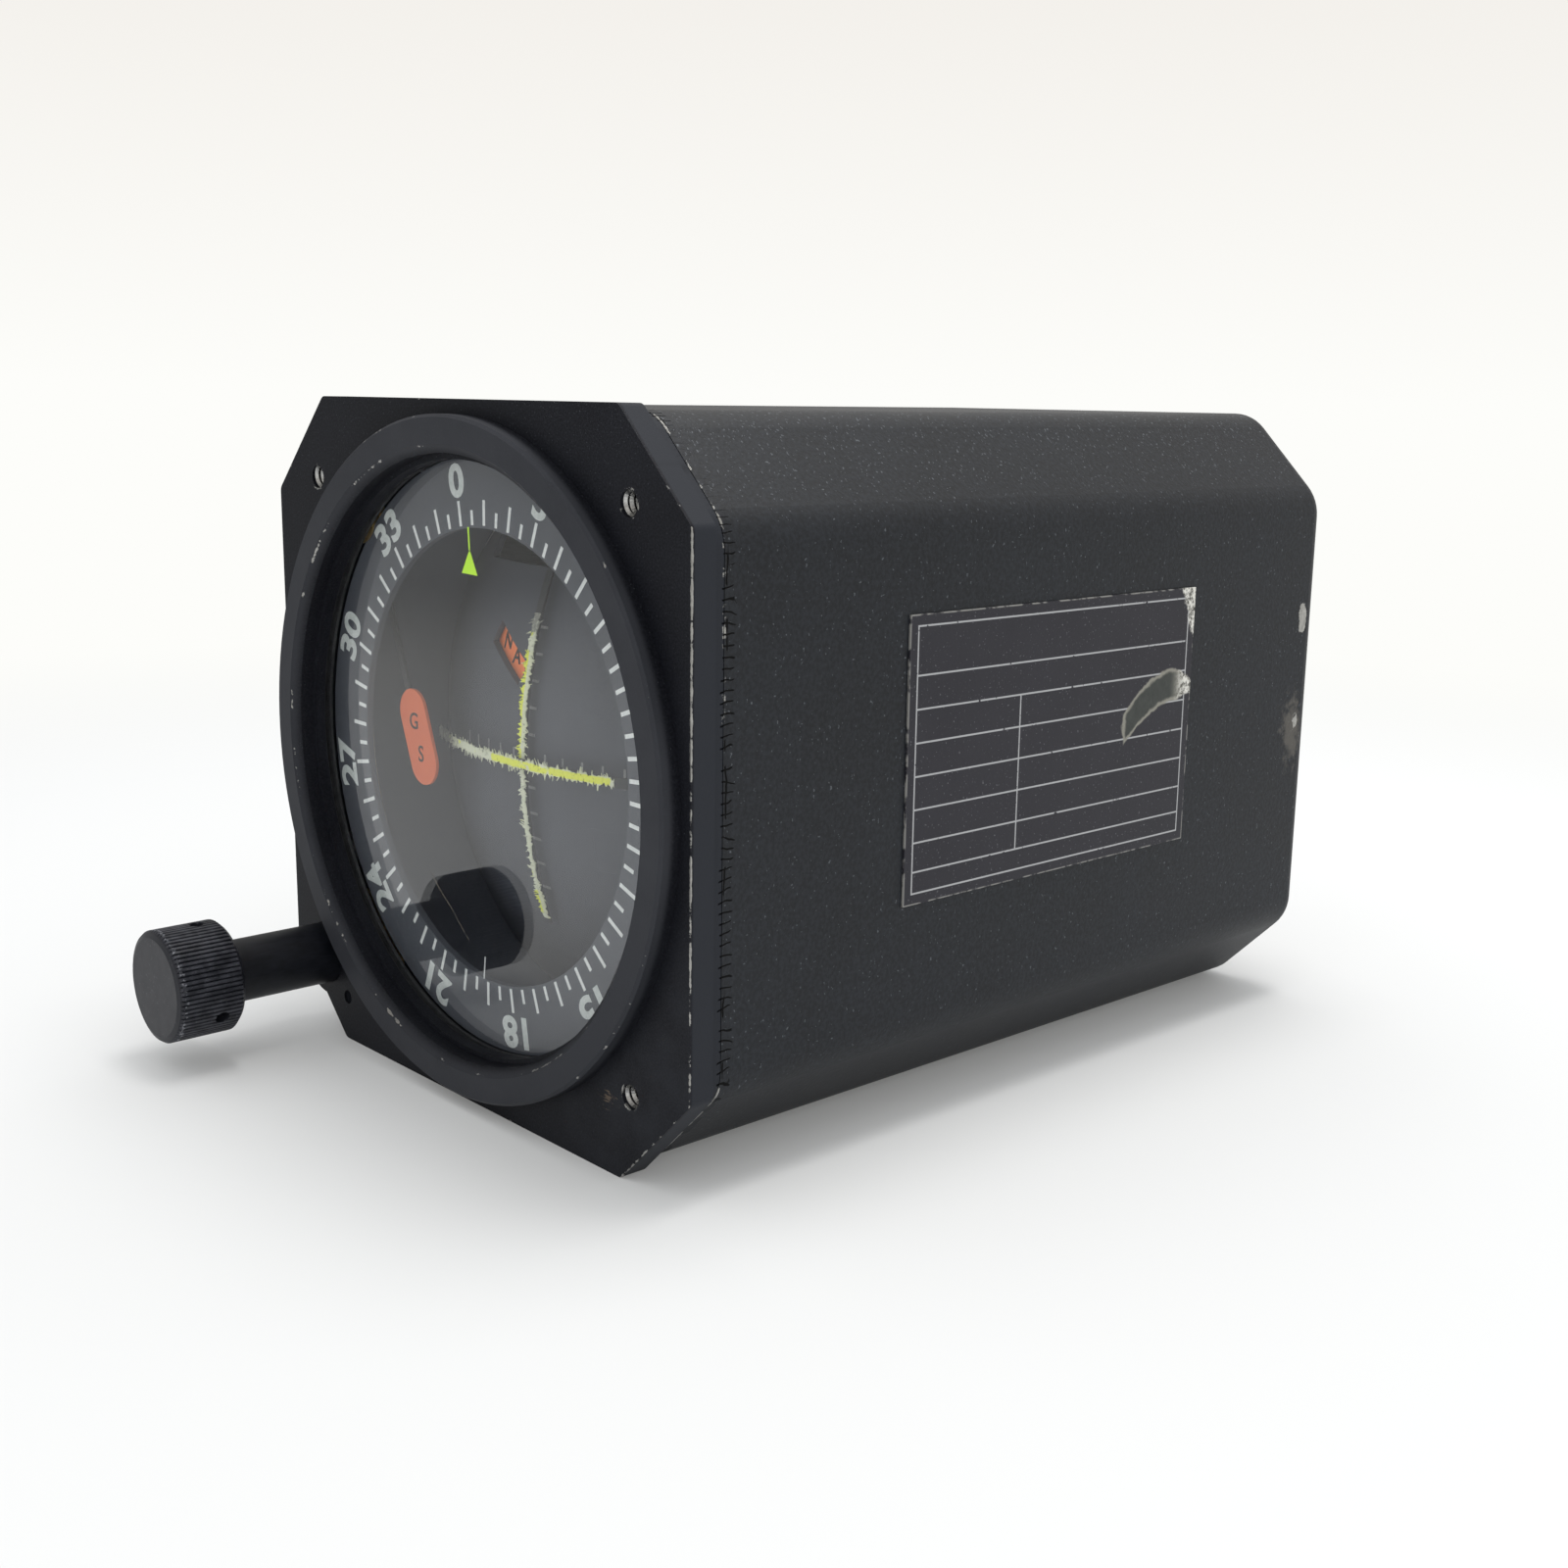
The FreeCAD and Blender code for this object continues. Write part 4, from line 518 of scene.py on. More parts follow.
@dataclass(frozen=True)
class CasePaint(TexturedPaint):
    """The case's coarser paint, chipped and stained near the rear edge."""

    name: str = "case_finish"
    color: Color = linear(19, 22, 27)
    grain_mm: float = 0.5
    grain_depth_mm: float = 0.07
    roughness: float = 0.5
    speck_share: float = 0.715
    sheen: float = 0.25
    dust_strength: float = 0.35
    stain_color: Color = linear(108, 103, 94)
    stain_place: Pair = (108.8, -2.2)
    stain_half: Pair = (2.6, 5.0)
    chip_half: Pair = (1 / 1.7, 1 / 0.8)
    chip_spots: tuple[tuple[float, float, float], ...] = ((109.8, 13.2, 1.7), (109.6, -1.2, 1.1))
    right_side: Pair = (20.0, 36.0)
    front_seam: float = 4.9

    def _tinted(self, shader: Shader, base: Value) -> Value:
        """A pale brown stain on the case's right side, close to its rear edge.

        Args:
            shader: The paint's node tree.
            base: The plain paint's colour.

        Returns:
            The colour with the stain on it.
        """
        x, y, z = shader.axes()
        far = oval(y - self.stain_place[0], z - self.stain_place[1], *self.stain_half)
        stain = (shader.noise(1.8, 4.0, 0.65) - far * 0.35).ramp(0.1, 0.4)
        return shader.mixed(stain * x.ramp(*self.right_side) * 0.45, base, self.stain_color)

    def _bare(self, shader: Shader, chips: Value, patches: Value) -> Value:
        """A few small chips on the case's corners and two larger ones near the rear edge.

        Args:
            shader: The paint's node tree.
            chips: Fine noise that shapes each chip.
            patches: Coarse noise that gathers the chips.

        Returns:
            One where metal shows, else nought.
        """
        x, y, z = shader.axes()
        corner = (abs(x) + abs(z)).ramp(68.5, 69.8)
        rear = y.ramp(108.0, 113.0)
        seam = abs(y - self.front_seam).ramp(0.4, 0.1) * 0.42
        amount = corner * 0.18 + rear * 0.25 + (chips - 0.5) * 0.8 + (patches - 0.5) * 0.9 + seam
        ragged = (chips - 0.5) * 3.0
        for spot_y, spot_z, size in self.chip_spots:
            near = oval(y - spot_y, z - spot_z, *self.chip_half) + ragged
            amount = amount + near.ramp(size + 0.3, size - 0.4) * x.ramp(*self.right_side) * 0.7
        return amount.ramp(0.58, 0.64)


@dataclass(frozen=True)
class PlainFinish(Finish):
    """A finish with two close shades, fine grain and one roughness."""

    name: str
    color: Color
    second: Color
    roughness: float = 0.45
    metallic: float = 0.0
    cloud_mm: float = 3.0
    grain_mm: float = 0.4
    grain_depth_mm: float = 0.01
    stretch: tuple[float, float, float] = (1.0, 1.0, 1.0)
    sheen: float = 0.3

    def build(self) -> bpy.types.Material:
        """Makes the finish.

        Returns:
            The material.
        """
        shader = Shader(self.name)
        place = shader.scaled(*self.stretch)
        grain = shader.noise(self.grain_mm, 3.0, 0.6, place)
        cloud = shader.noise(self.cloud_mm, 3.0, 0.5)
        base = shader.mixed((grain * 0.5 + cloud * 0.5).ramp(0.35, 0.65), self.color, self.second)
        rough = self.roughness + (cloud - 0.5) * 0.2
        normal = shader.bump(grain, 0.4, self.grain_depth_mm)
        return shader.done(shader.surface(Base_Color=base, Roughness=rough, Normal=normal,
                                          Metallic=self.metallic, Specular_IOR_Level=self.sheen))


@dataclass(frozen=True)
class KnobPlastic(Finish):
    """Black knob whose knurl tips are a little paler, partly rubbed and partly a painted highlight,
    and whose front edge is rubbed a little paler.
    """

    name: str = "knob_finish"
    axis: Pair = (-33.9, -30.7)
    front_edge: float = -22.75
    color: Color = linear(29, 30, 36)
    rubbed_and_highlight_color: Color = linear(58, 59, 65)
    dust_color: Color = linear(146, 147, 152)

    def build(self) -> bpy.types.Material:
        """Makes the knob's finish.

        Returns:
            The material.
        """
        shader = Shader(self.name)
        radius = shader.radius(*self.axis)
        # knurl tips: rubbed paler, and partly a painted highlight
        tops = radius.ramp(6.86, 7.12)
        cloud = shader.noise(1.5, 3.0)
        base = shader.mixed(tops * cloud.ramp(0.3, 0.7), self.color, self.rubbed_and_highlight_color)
        rim = abs(shader.along("Y") - self.front_edge).ramp(0.45, 0.15) * radius.ramp(6.4, 6.8)
        dust = (shader.noise(0.42, 2.0) + rim * 0.12).ramp(0.64, 0.72)
        base = shader.mixed(dust * (rim * 0.45 + 0.1), base, self.dust_color)
        normal = shader.bump(shader.noise(0.3, 2.0), 0.4, 0.02)
        return shader.done(shader.surface(Base_Color=base, Roughness=0.42 + cloud * 0.12,
                                          Normal=normal, Specular_IOR_Level=0.3))


@dataclass(frozen=True)
class WindowGlass(Finish):
    """Clear glass that bends what is seen through it but casts no dark shadow."""

    name: str = "window_glass_finish"
    index: float = 1.37
    scratch_start: Pair = (-10.81, -14.82)
    scratch_way: Pair = (0.77, -0.638)
    scratch_length: float = 12.5
    front_y: float = 2.4
    dirt_color: Color = linear(150, 138, 120)

    def build(self) -> bpy.types.Material:
        """Makes the glass.

        Returns:
            The material.
        """
        shader = Shader(self.name)
        smear = shader.noise(11.0, 4.0, 0.6, shader.scaled(1.0, 1.0, 1.7))
        haze = smear.ramp(0.45, 0.8) * 0.05
        x, y, z = shader.axes()
        from_x, from_z = x - self.scratch_start[0], z - self.scratch_start[1]
        way_x, way_z = self.scratch_way
        along = from_x * way_x + from_z * way_z
        across = from_z * way_x - from_x * way_z + (shader.noise(6.0, 2.0) - 0.5) * 0.8
        ends = along.ramp(-0.5, 1.0) * along.ramp(self.scratch_length, self.scratch_length - 1.5)
        broken = shader.noise(0.8, 2.0).ramp(0.36, 0.46)
        scratch = abs(across).ramp(0.08, 0.03) * ends * broken
        speck = shader.noise(0.42, 1.0).ramp(0.8, 0.82)
        mark = (scratch * 0.4).highest(speck * 0.5) * y.ramp(self.front_y + 0.2, self.front_y)
        glass = shader.surface(Base_Color=(0.97, 0.98, 0.98), Roughness=haze, IOR=self.index,
                               Transmission_Weight=1.0)
        dirt = shader.surface(Base_Color=self.dirt_color, Roughness=0.7)
        glass = shader.blend(mark, glass, dirt)
        clear = shader.node("ShaderNodeBsdfTransparent", {}, {"Color": (0.96, 0.97, 0.97)})
        return shader.done(shader.blend(shader.ray("Is Shadow Ray", "Is Diffuse Ray"), glass, clear))


class Run(Enum):
    """Which way a needle lies, by the axis it runs along."""

    UPRIGHT = "Z"
    LEVEL = "X"


@dataclass(frozen=True)
class FlakedPaint(Finish):
    """Bright needle paint that has cracked and come off in flakes."""

    name: str
    run: Run
    yellow: tuple[Pair, ...]
    bare: Pair
    yellow_color: Color = linear(218, 222, 62)
    pale_color: Color = linear(204, 205, 180)
    bare_color: Color = linear(132, 132, 122)
    crack_color: Color = linear(60, 58, 40)

    def build(self) -> bpy.types.Material:
        """Makes the paint.

        Returns:
            The material.
        """
        shader = Shader(self.name)
        along = shader.along(self.run.value)
        crack = shader.noise(0.5, 4.0, 0.7)
        amount = shader.noise(2.2, 3.0, 0.6)
        for start, stop in self.yellow:
            middle, half = (start + stop) / 2, abs(stop - start) / 2
            amount = amount + abs(along - middle).ramp(half, half - 1.5) * 0.24
        off_line = shader.along("X") if self.run is Run.UPRIGHT else shader.along("Z") - DIAL_Z
        fringe = (abs(off_line) + (crack - 0.5) * 0.5).ramp(0.34, 0.52) * 0.9
        paint = shader.mixed(amount.ramp(0.6, 0.66), self.pale_color, self.yellow_color)
        paint = shader.mixed(fringe, paint, self.pale_color)
        gone = along.ramp(*self.bare) * 0.35 + crack * 0.9
        paint = shader.mixed(gone.ramp(0.62, 0.74), paint, self.bare_color)
        paint = shader.mixed(crack.ramp(0.6, 0.7) * 0.75, paint, self.crack_color)
        normal = shader.bump(crack, 0.8, 0.06)
        return shader.done(shader.surface(Base_Color=paint, Roughness=0.5, Normal=normal))


@dataclass(frozen=True)
class DataPlateFoil(Finish):
    """Dark printed foil with a painted highlight along its edges, scuffed through to the metal in
    one place and at one corner.
    """

    name: str = "data_plate_finish"
    middle: Pair = (57.7, 2.5)
    half: Pair = (26.3, 16.5)
    frame_inset: float = 1.3
    rules: tuple[float, ...] = (12.2, 8.4, 4.6, 0.8, -3.0, -6.8, -10.2)
    divider: float = 50.4
    line_half: float = 0.1
    scuff_centre: Pair = (80.5, -4.0)
    scuff_radius: float = 10.8
    foil_colors: tuple[Color, Color] = (linear(33, 32, 38), linear(41, 40, 46))
    speck_color: Color = linear(140, 140, 144)
    ink_color: Color = linear(178, 178, 178)
    edge_highlight_color: Color = linear(160, 158, 152)
    metal_colors: tuple[Color, Color] = (linear(70, 68, 62), linear(214, 212, 204))
    rim_color: Color = linear(132, 130, 120)
    scuff_colors: tuple[Color, Color] = (linear(44, 47, 45), linear(66, 69, 65))

    def build(self) -> bpy.types.Material:
        """Makes the foil.

        Returns:
            The material.
        """
        shader = Shader(self.name)
        y, z = shader.along("Y"), shader.along("Z")
        ragged = shader.noise(2.2, 4.0, 0.6) - 0.5
        base = shader.mixed(shader.noise(7.0, 3.0), *self.foil_colors)
        fine = shader.noise(0.3, 2.0).ramp(0.66, 0.74)
        base = shader.mixed(fine * 0.35, base, self.speck_color)
        ink = self._ruling(y, z) * shader.noise(0.7, 2.0).ramp(0.26, 0.34)
        base = shader.mixed(ink * 0.8, base, self.ink_color)
        # painted highlight: a thin broken pale line along the plate's edges stands in for the light
        # its edges catch
        edge_highlight = self._outside(y, z, 0.0).ramp(-0.22, -0.05)
        edge_highlight = edge_highlight * shader.noise(1.6, 3.0).ramp(0.42, 0.56)
        base = shader.mixed(edge_highlight * 0.6, base, self.edge_highlight_color)
        scuff, core = self._scuff(y, z, ragged)
        from_right, from_top = self.middle[0] + self.half[0] - y, self.middle[1] + self.half[1] - z
        corner = (from_right * 0.62 + from_top * 0.3 + ragged * 1.8).ramp(1.9, 1.5)
        bright = shader.mixed(shader.noise(0.5, 3.0, 0.7).ramp(0.35, 0.6), *self.metal_colors)
        rim = shader.mixed(y.ramp(80.0, 83.0), self.rim_color, bright)
        inner = shader.mixed(shader.noise(0.9, 3.0), *self.scuff_colors)
        base = shader.mixed(scuff, base, rim)
        base = shader.mixed(core, base, inner)
        base = shader.mixed(corner, base, bright)
        worn = scuff.highest(corner)
        normal = shader.bump(shader.noise(0.5, 3.0) - worn * 0.8, 0.4, 0.03)
        return shader.done(shader.surface(Base_Color=base, Roughness=0.5 - worn * 0.12,
                                          Metallic=worn * 0.3, Normal=normal,
                                          Specular_IOR_Level=0.25))

    def _outside(self, y: Value, z: Value, inset: float) -> Value:
        """How far a point lies outside a rectangle a little smaller than the plate.

        Args:
            y: The point's place along the case.
            z: The point's height.
            inset: How much smaller the rectangle is on each side.

        Returns:
            The distance in millimetres, below nought inside.
        """
        across = abs(y - self.middle[0]) - (self.half[0] - inset)
        return across.highest(abs(z - self.middle[1]) - (self.half[1] - inset))

    def _ruling(self, y: Value, z: Value) -> Value:
        """Thin pale lines of a blank form: a frame, rows and one divider.

        Args:
            y: The point's place along the case.
            z: The point's height.

        Returns:
            One on a line, else nought.
        """
        outside = self._outside(y, z, self.frame_inset)
        nearest = abs(z - self.rules[0])
        for rule in self.rules[1:]:
            nearest = nearest.lowest(abs(z - rule))
        divider = abs(y - self.divider).highest(z - self.rules[1]).highest(self.rules[-1] - z)
        nearest = nearest.lowest(divider).highest(outside).lowest(abs(outside))
        return nearest.ramp(self.line_half + 0.04, self.line_half - 0.04)

    def _scuff(self, y: Value, z: Value, ragged: Value) -> tuple[Value, Value]:
        """The bent scuff that runs up to the plate's rear edge.

        Args:
            y: The point's place along the case.
            z: The point's height.
            ragged: Noise about nought that roughens its outline.

        Returns:
            The scuff's whole area and its dark middle.
        """
        across, up = y - self.scuff_centre[0], z - self.scuff_centre[1]
        far = abs((across * across + up * up) ** 0.5 - self.scuff_radius)
        far = far + ragged * 1.2 + z.ramp(4.0, -1.5) * 2.4 + y.ramp(80.5, 84.0) * 1.1
        return far.ramp(2.15, 1.85), far.ramp(1.75, 1.3) * y.ramp(82.0, 79.5)


@dataclass(frozen=True)
class FlagPaint(Finish):
    """Slightly cloudy orange with black beside it."""

    name: str
    orange: Color
    pale_orange: Color
    black: Color

    def build(self) -> bpy.types.Material:
        """Makes the paint.

        Returns:
            The material.
        """
        shader = Shader(self.name)
        bright = shader.mixed(shader.noise(3.0, 3.0), self.orange, self.pale_orange)
        base = shader.mixed(self._black_share(shader), bright, self.black)
        normal = shader.bump(shader.noise(0.4, 2.0), 0.3, 0.01)
        return shader.done(shader.surface(Base_Color=base, Roughness=0.55, Normal=normal))

    @abstractmethod
    def _black_share(self, shader: Shader) -> Value:
        """Where the flag is black."""


@dataclass(frozen=True)
class SlopeFlagPaint(FlagPaint):
    """Orange on the flag's round-ended head, black on its arm and staff."""

    name: str = "slope_flag_finish"
    orange: Color = linear(202, 90, 42)
    pale_orange: Color = linear(214, 104, 54)
    black: Color = linear(30, 31, 35)
    centre: Pair = (-19.75, -0.45)
    lean_degrees: float = 20.6
    half_length: float = 6.15
    blur: float = 0.05

    def _black_share(self, shader: Shader) -> Value:
        """One beyond the head's upper end, else nought.

        Args:
            shader: The paint's node tree.

        Returns:
            The share of black.
        """
        lean = math.radians(self.lean_degrees)
        across, up = shader.along("X") - self.centre[0], shader.along("Z") - self.centre[1]
        along = up * math.cos(lean) - across * math.sin(lean)
        return along.ramp(self.half_length - self.blur, self.half_length + self.blur)


@dataclass(frozen=True)
class CourseFlagPaint(FlagPaint):
    """Orange on the vane's half that shows as a warning, the mask's black on the other."""

    name: str = "vane_finish"
    orange: Color = linear(238, 118, 58)
    pale_orange: Color = linear(244, 132, 70)
    black: Color = linear(68, 70, 77)
    lean_degrees: float = 2.0
    blur: float = 0.02

    def _black_share(self, shader: Shader) -> Value:
        """One on the vane's right half, else nought.

        Args:
            shader: The paint's node tree.

        Returns:
            The share of black.
        """
        up = shader.along("Z") - DIAL_Z
        line = shader.along("X") - up * math.tan(math.radians(self.lean_degrees))
        return line.ramp(-self.blur, self.blur)


@dataclass(frozen=True)
class Room:
    """The pale room round the object, with a darker side that only reflections show."""

    horizon: Color = linear(253, 253, 250)
    sky: Color = linear(243, 240, 235)
    dark: Color = linear(40, 42, 46)
    dark_way: Pair = (-0.72, -0.69)
    dark_share: float = 0.48
    dark_edge: Pair = (-0.1, 0.3)
    sky_reach: Pair = (0.0, 0.2)


@dataclass(frozen=True)
class FloorPaper(Finish):
    """White paper that glows evenly further off and, near the object, keeps the shadow lightened by
    a small share of painted glow.
    """

    room: Room
    middle: Pair
    name: str = "floor_finish"
    seen: Color = (0.64, 0.635, 0.625)
    bounce: float = 0.85
    glow_reach: Pair = (150.0, 430.0)
    near_glow: float = 0.14
    dark_reach: Pair = (210.0, 620.0)

    def build(self) -> bpy.types.Material:
        """Makes the paper.

        Returns:
            The material.
        """
        shader = Shader(self.name)
        x, y, _ = shader.axes()
        seen = shader.ray("Is Camera Ray", "Is Glossy Ray", "Is Transmission Ray")
        paper = shader.mixed(seen, (self.bounce,) * 3, self.seen)
        lit = shader.surface(Base_Color=paper, Roughness=0.9, Specular_IOR_Level=0.0)
        across, back = x - self.middle[0], y - self.middle[1]
        far = ((across * across + back * back) ** 0.5).ramp(*self.glow_reach)
        glow = shader.emission(self.room.horizon)
        # painted light: near the object a fixed share of glow (near_glow) lightens the cast shadow
        pale = shader.blend(seen * far.highest(self.near_glow), lit, glow)
        ahead = x * self.room.dark_way[0] + y * self.room.dark_way[1]
        dark = ahead.ramp(*self.dark_reach) * shader.ray("Is Glossy Ray") * self.room.dark_share
        return shader.done(shader.blend(dark, pale, shader.emission(self.room.dark)))


def dress(finish: Finish, *nodes: str) -> bpy.types.Material:
    """Makes a finish and gives it to solids of the frame.

    Args:
        finish: The finish for all their faces.
        *nodes: The solids' names.

    Returns:
        The material, for pieces of the same finish.
    """
    material = finish.build()
    for node in nodes:
        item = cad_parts[node]
        item.data.materials.clear()
        item.data.materials.append(material)
        LOG.info("dressed %s", node)
    return material


def soften(degrees: float, *nodes: str) -> None:
    """Shades the shallow edges of solids smooth.

    Args:
        degrees: The steepest edge that is smoothed.
        *nodes: The solids' names.
    """
    for node in nodes:
        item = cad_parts[node]
        for polygon in item.data.polygons:
            polygon.use_smooth = True
        item.data.set_sharp_from_angle(angle=math.radians(degrees))


def make_piece(name: str, shape: bmesh.types.BMesh, body: str,
               material: bpy.types.Material) -> bpy.types.Object:
    """Turns a mesh under construction into a piece that rides on a body.

    Args:
        name: The piece's name.
        shape: The mesh; it is freed here.
        body: The body it moves with.
        material: Its material.

    Returns:
        The piece.
    """
    mesh = bpy.data.meshes.new(name)
    bmesh.ops.recalc_face_normals(shape, faces=shape.faces)
    shape.to_mesh(mesh)
    shape.free()
    piece = bpy.data.objects.new(name, mesh)
    bpy.context.collection.objects.link(piece)
    mesh.materials.append(material)
    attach(piece, body)
    LOG.info("made %s", name)
    return piece


def add_prism(shape: bmesh.types.BMesh, outline: list[Vector], depth: Vector) -> None:
    """Adds a closed prism.

    Args:
        shape: The mesh it is added to.
        outline: Corners of its front face.
        depth: From the front face to the rear face.
    """
    front = [shape.verts.new(point) for point in outline]
    rear = [shape.verts.new(point + depth) for point in outline]
    shape.faces.new(front)
    shape.faces.new(list(reversed(rear)))
    count = len(outline)
    for index in range(count):
        following = (index + 1) % count
        shape.faces.new([front[following], front[index], rear[index], rear[following]])


@dataclass(frozen=True)
class Lettering:
    """How a line of plain characters is cut."""

    height: float
    weight: float = 0.02
    depth: float = 0.02
    widening: float = 1.0
    curve_steps: int = 4

    def add(self, shape: bmesh.types.BMesh, text: str, matrix: Matrix) -> None:
        """Adds upright lettering whose centre sits at a matrix's origin.

        Args:
            shape: The mesh it is added to.
            text: The characters.
            matrix: From the lettering's plane, X right and Y up, to the frame.
        """
        curve = bpy.data.curves.new("lettering", "FONT")
        curve.body = text
        curve.align_x = "CENTER"
        curve.align_y = "CENTER"
        curve.size = 1.0
        curve.resolution_u = self.curve_steps
        curve.offset = self.weight
        curve.extrude = 0.5
        item = bpy.data.objects.new("lettering", curve)
        mesh = bpy.data.meshes.new_from_object(item)
        widths = [vertex.co.x for vertex in mesh.vertices]
        heights = [vertex.co.y for vertex in mesh.vertices]
        low, high = min(heights), max(heights)
        middle = Vector(((min(widths) + max(widths)) / 2, (low + high) / 2, 0))
        scale = self.height * MM / (high - low)
        for vertex in mesh.vertices:
            point = (vertex.co - middle) * scale
            point.x *= self.widening
            point.z = vertex.co.z * self.depth * MM
            vertex.co = matrix @ point
        part = bmesh.new()
        part.from_mesh(mesh)
        bmesh.ops.remove_doubles(part, verts=part.verts, dist=1e-7)
        part.to_mesh(mesh)
        part.free()
        shape.from_mesh(mesh)
        bpy.data.meshes.remove(mesh)
        bpy.data.objects.remove(item)
        bpy.data.curves.remove(curve)


def upright(x: float, y: float, z: float, turn: float = 0.0) -> Matrix:
    """A lettering plane that faces the pilot.

    Args:
        x: Centre, sideways, in millimetres.
        y: Centre, depth, in millimetres.
        z: Centre, up, in millimetres.
        turn: Degrees clockwise as the pilot sees it.

    Returns:
        The matrix from the lettering's plane to the frame.
    """
    face = Matrix(((1, 0, 0, 0), (0, 0, -1, 0), (0, 1, 0, 0), (0, 0, 0, 1)))
    spin = Matrix.Rotation(math.radians(turn), 4, "Y")
    return Matrix.Translation(Vector((x, y, z)) * MM) @ spin @ face


@dataclass
class Housing:
    """The flange, the case and what closes it at the rear."""

    thread_pitch: float = 0.794
    thread_turns: float = 3.2
    thread_steps: int = 26
    thread_start: float = 0.32
    thread_root: float = 1.4
    thread_crest: float = 1.16
    thread_flank: float = 0.42
    holes: tuple[tuple[str, int, int], ...] = (("upper_right", 1, 1), ("upper_left", -1, 1),
                                               ("lower_right", 1, -1))
    plating: PlainFinish = PlainFinish("bright_plating", (0.45, 0.44, 0.42), (0.6, 0.59, 0.56),
                                       roughness=0.3, metallic=1.0)
    rear_metal: PlainFinish = PlainFinish("rear_plate_finish", (0.42, 0.42, 0.41),
                                          (0.5, 0.5, 0.49), roughness=0.42, metallic=1.0,
                                          cloud_mm=6.0, grain_mm=0.3, stretch=(0.08, 1.0, 1.0))
    insert: PlainFinish = PlainFinish("insert_finish", (0.02, 0.02, 0.021), (0.03, 0.03, 0.03),
                                      roughness=0.4)
    contact: PlainFinish = PlainFinish("contact_finish", (0.75, 0.55, 0.22), (0.85, 0.66, 0.3),
                                       roughness=0.25, metallic=1.0)
    thread: PlainFinish = PlainFinish("thread_finish", (0.3, 0.3, 0.3), (0.55, 0.55, 0.53),
                                      roughness=0.28, metallic=1.0)

    def build(self) -> None:
        """Dresses every outer solid and cuts the threads."""
        dress(FlangePaint(), "front_flange")
        dress(CasePaint(), "case")
        dress(DataPlateFoil(), "data_plate")
        dress(self.rear_metal, "rear_plate")
        dress(self.plating, "rear_screws", "jack_sockets", "rear_connector")
        dress(self.insert, "connector_insert")
        dress(self.contact, "connector_pins")
        soften(30.0, "front_flange", "case", "rear_screws", "rear_connector")
        metal = self.thread.build()
        for name, right, up in self.holes:
            shape = self._thread(right * SCREW_REACH, up * SCREW_REACH)
            make_piece(f"thread_{name}", shape, "instrument", metal)

    def _thread(self, x: float, z: float) -> bmesh.types.BMesh:
        """Winds the crest of a thread inside a panel screw hole.

        Args:
            x: The hole's place sideways.
            z: The hole's height.

        Returns:
            The closed thread.
        """
        shape = bmesh.new()
        rows = []
        rise = Vector((0, self.thread_pitch * self.thread_flank, 0))
        for step in range(int(self.thread_turns * self.thread_steps) + 1):
            angle = 2 * math.pi * step / self.thread_steps
            depth = self.thread_start + self.thread_pitch * step / self.thread_steps
            way = Vector((math.cos(angle), 0, math.sin(angle)))
            middle = Vector((x, depth, z))
            root = middle + way * self.thread_root
            points = (root - rise, middle + way * self.thread_crest, root + rise)
            rows.append([shape.verts.new(point * MM) for point in points])
        for near, far in zip(rows, rows[1:]):
            for index in range(3):
                following = (index + 1) % 3
                shape.faces.new([near[index], near[following], far[following], far[index]])
        shape.faces.new(list(reversed(rows[0])))
        shape.faces.new(rows[-1])
        return shape


@dataclass
class Window:
    """The glass, its rubber and its ring."""

    rubber: PlainFinish = PlainFinish("rubber_finish", (0.02, 0.02, 0.02), (0.03, 0.03, 0.03),
                                      roughness=0.7)
    ring: PlainFinish = PlainFinish("clip_finish", (0.03, 0.03, 0.032), (0.05, 0.05, 0.05))

    def build(self) -> None:
        """Dresses the window's solids."""
        dress(WindowGlass(), "window_glass")
        dress(self.rubber, "glass_gasket")
        dress(self.ring, "glass_clip")


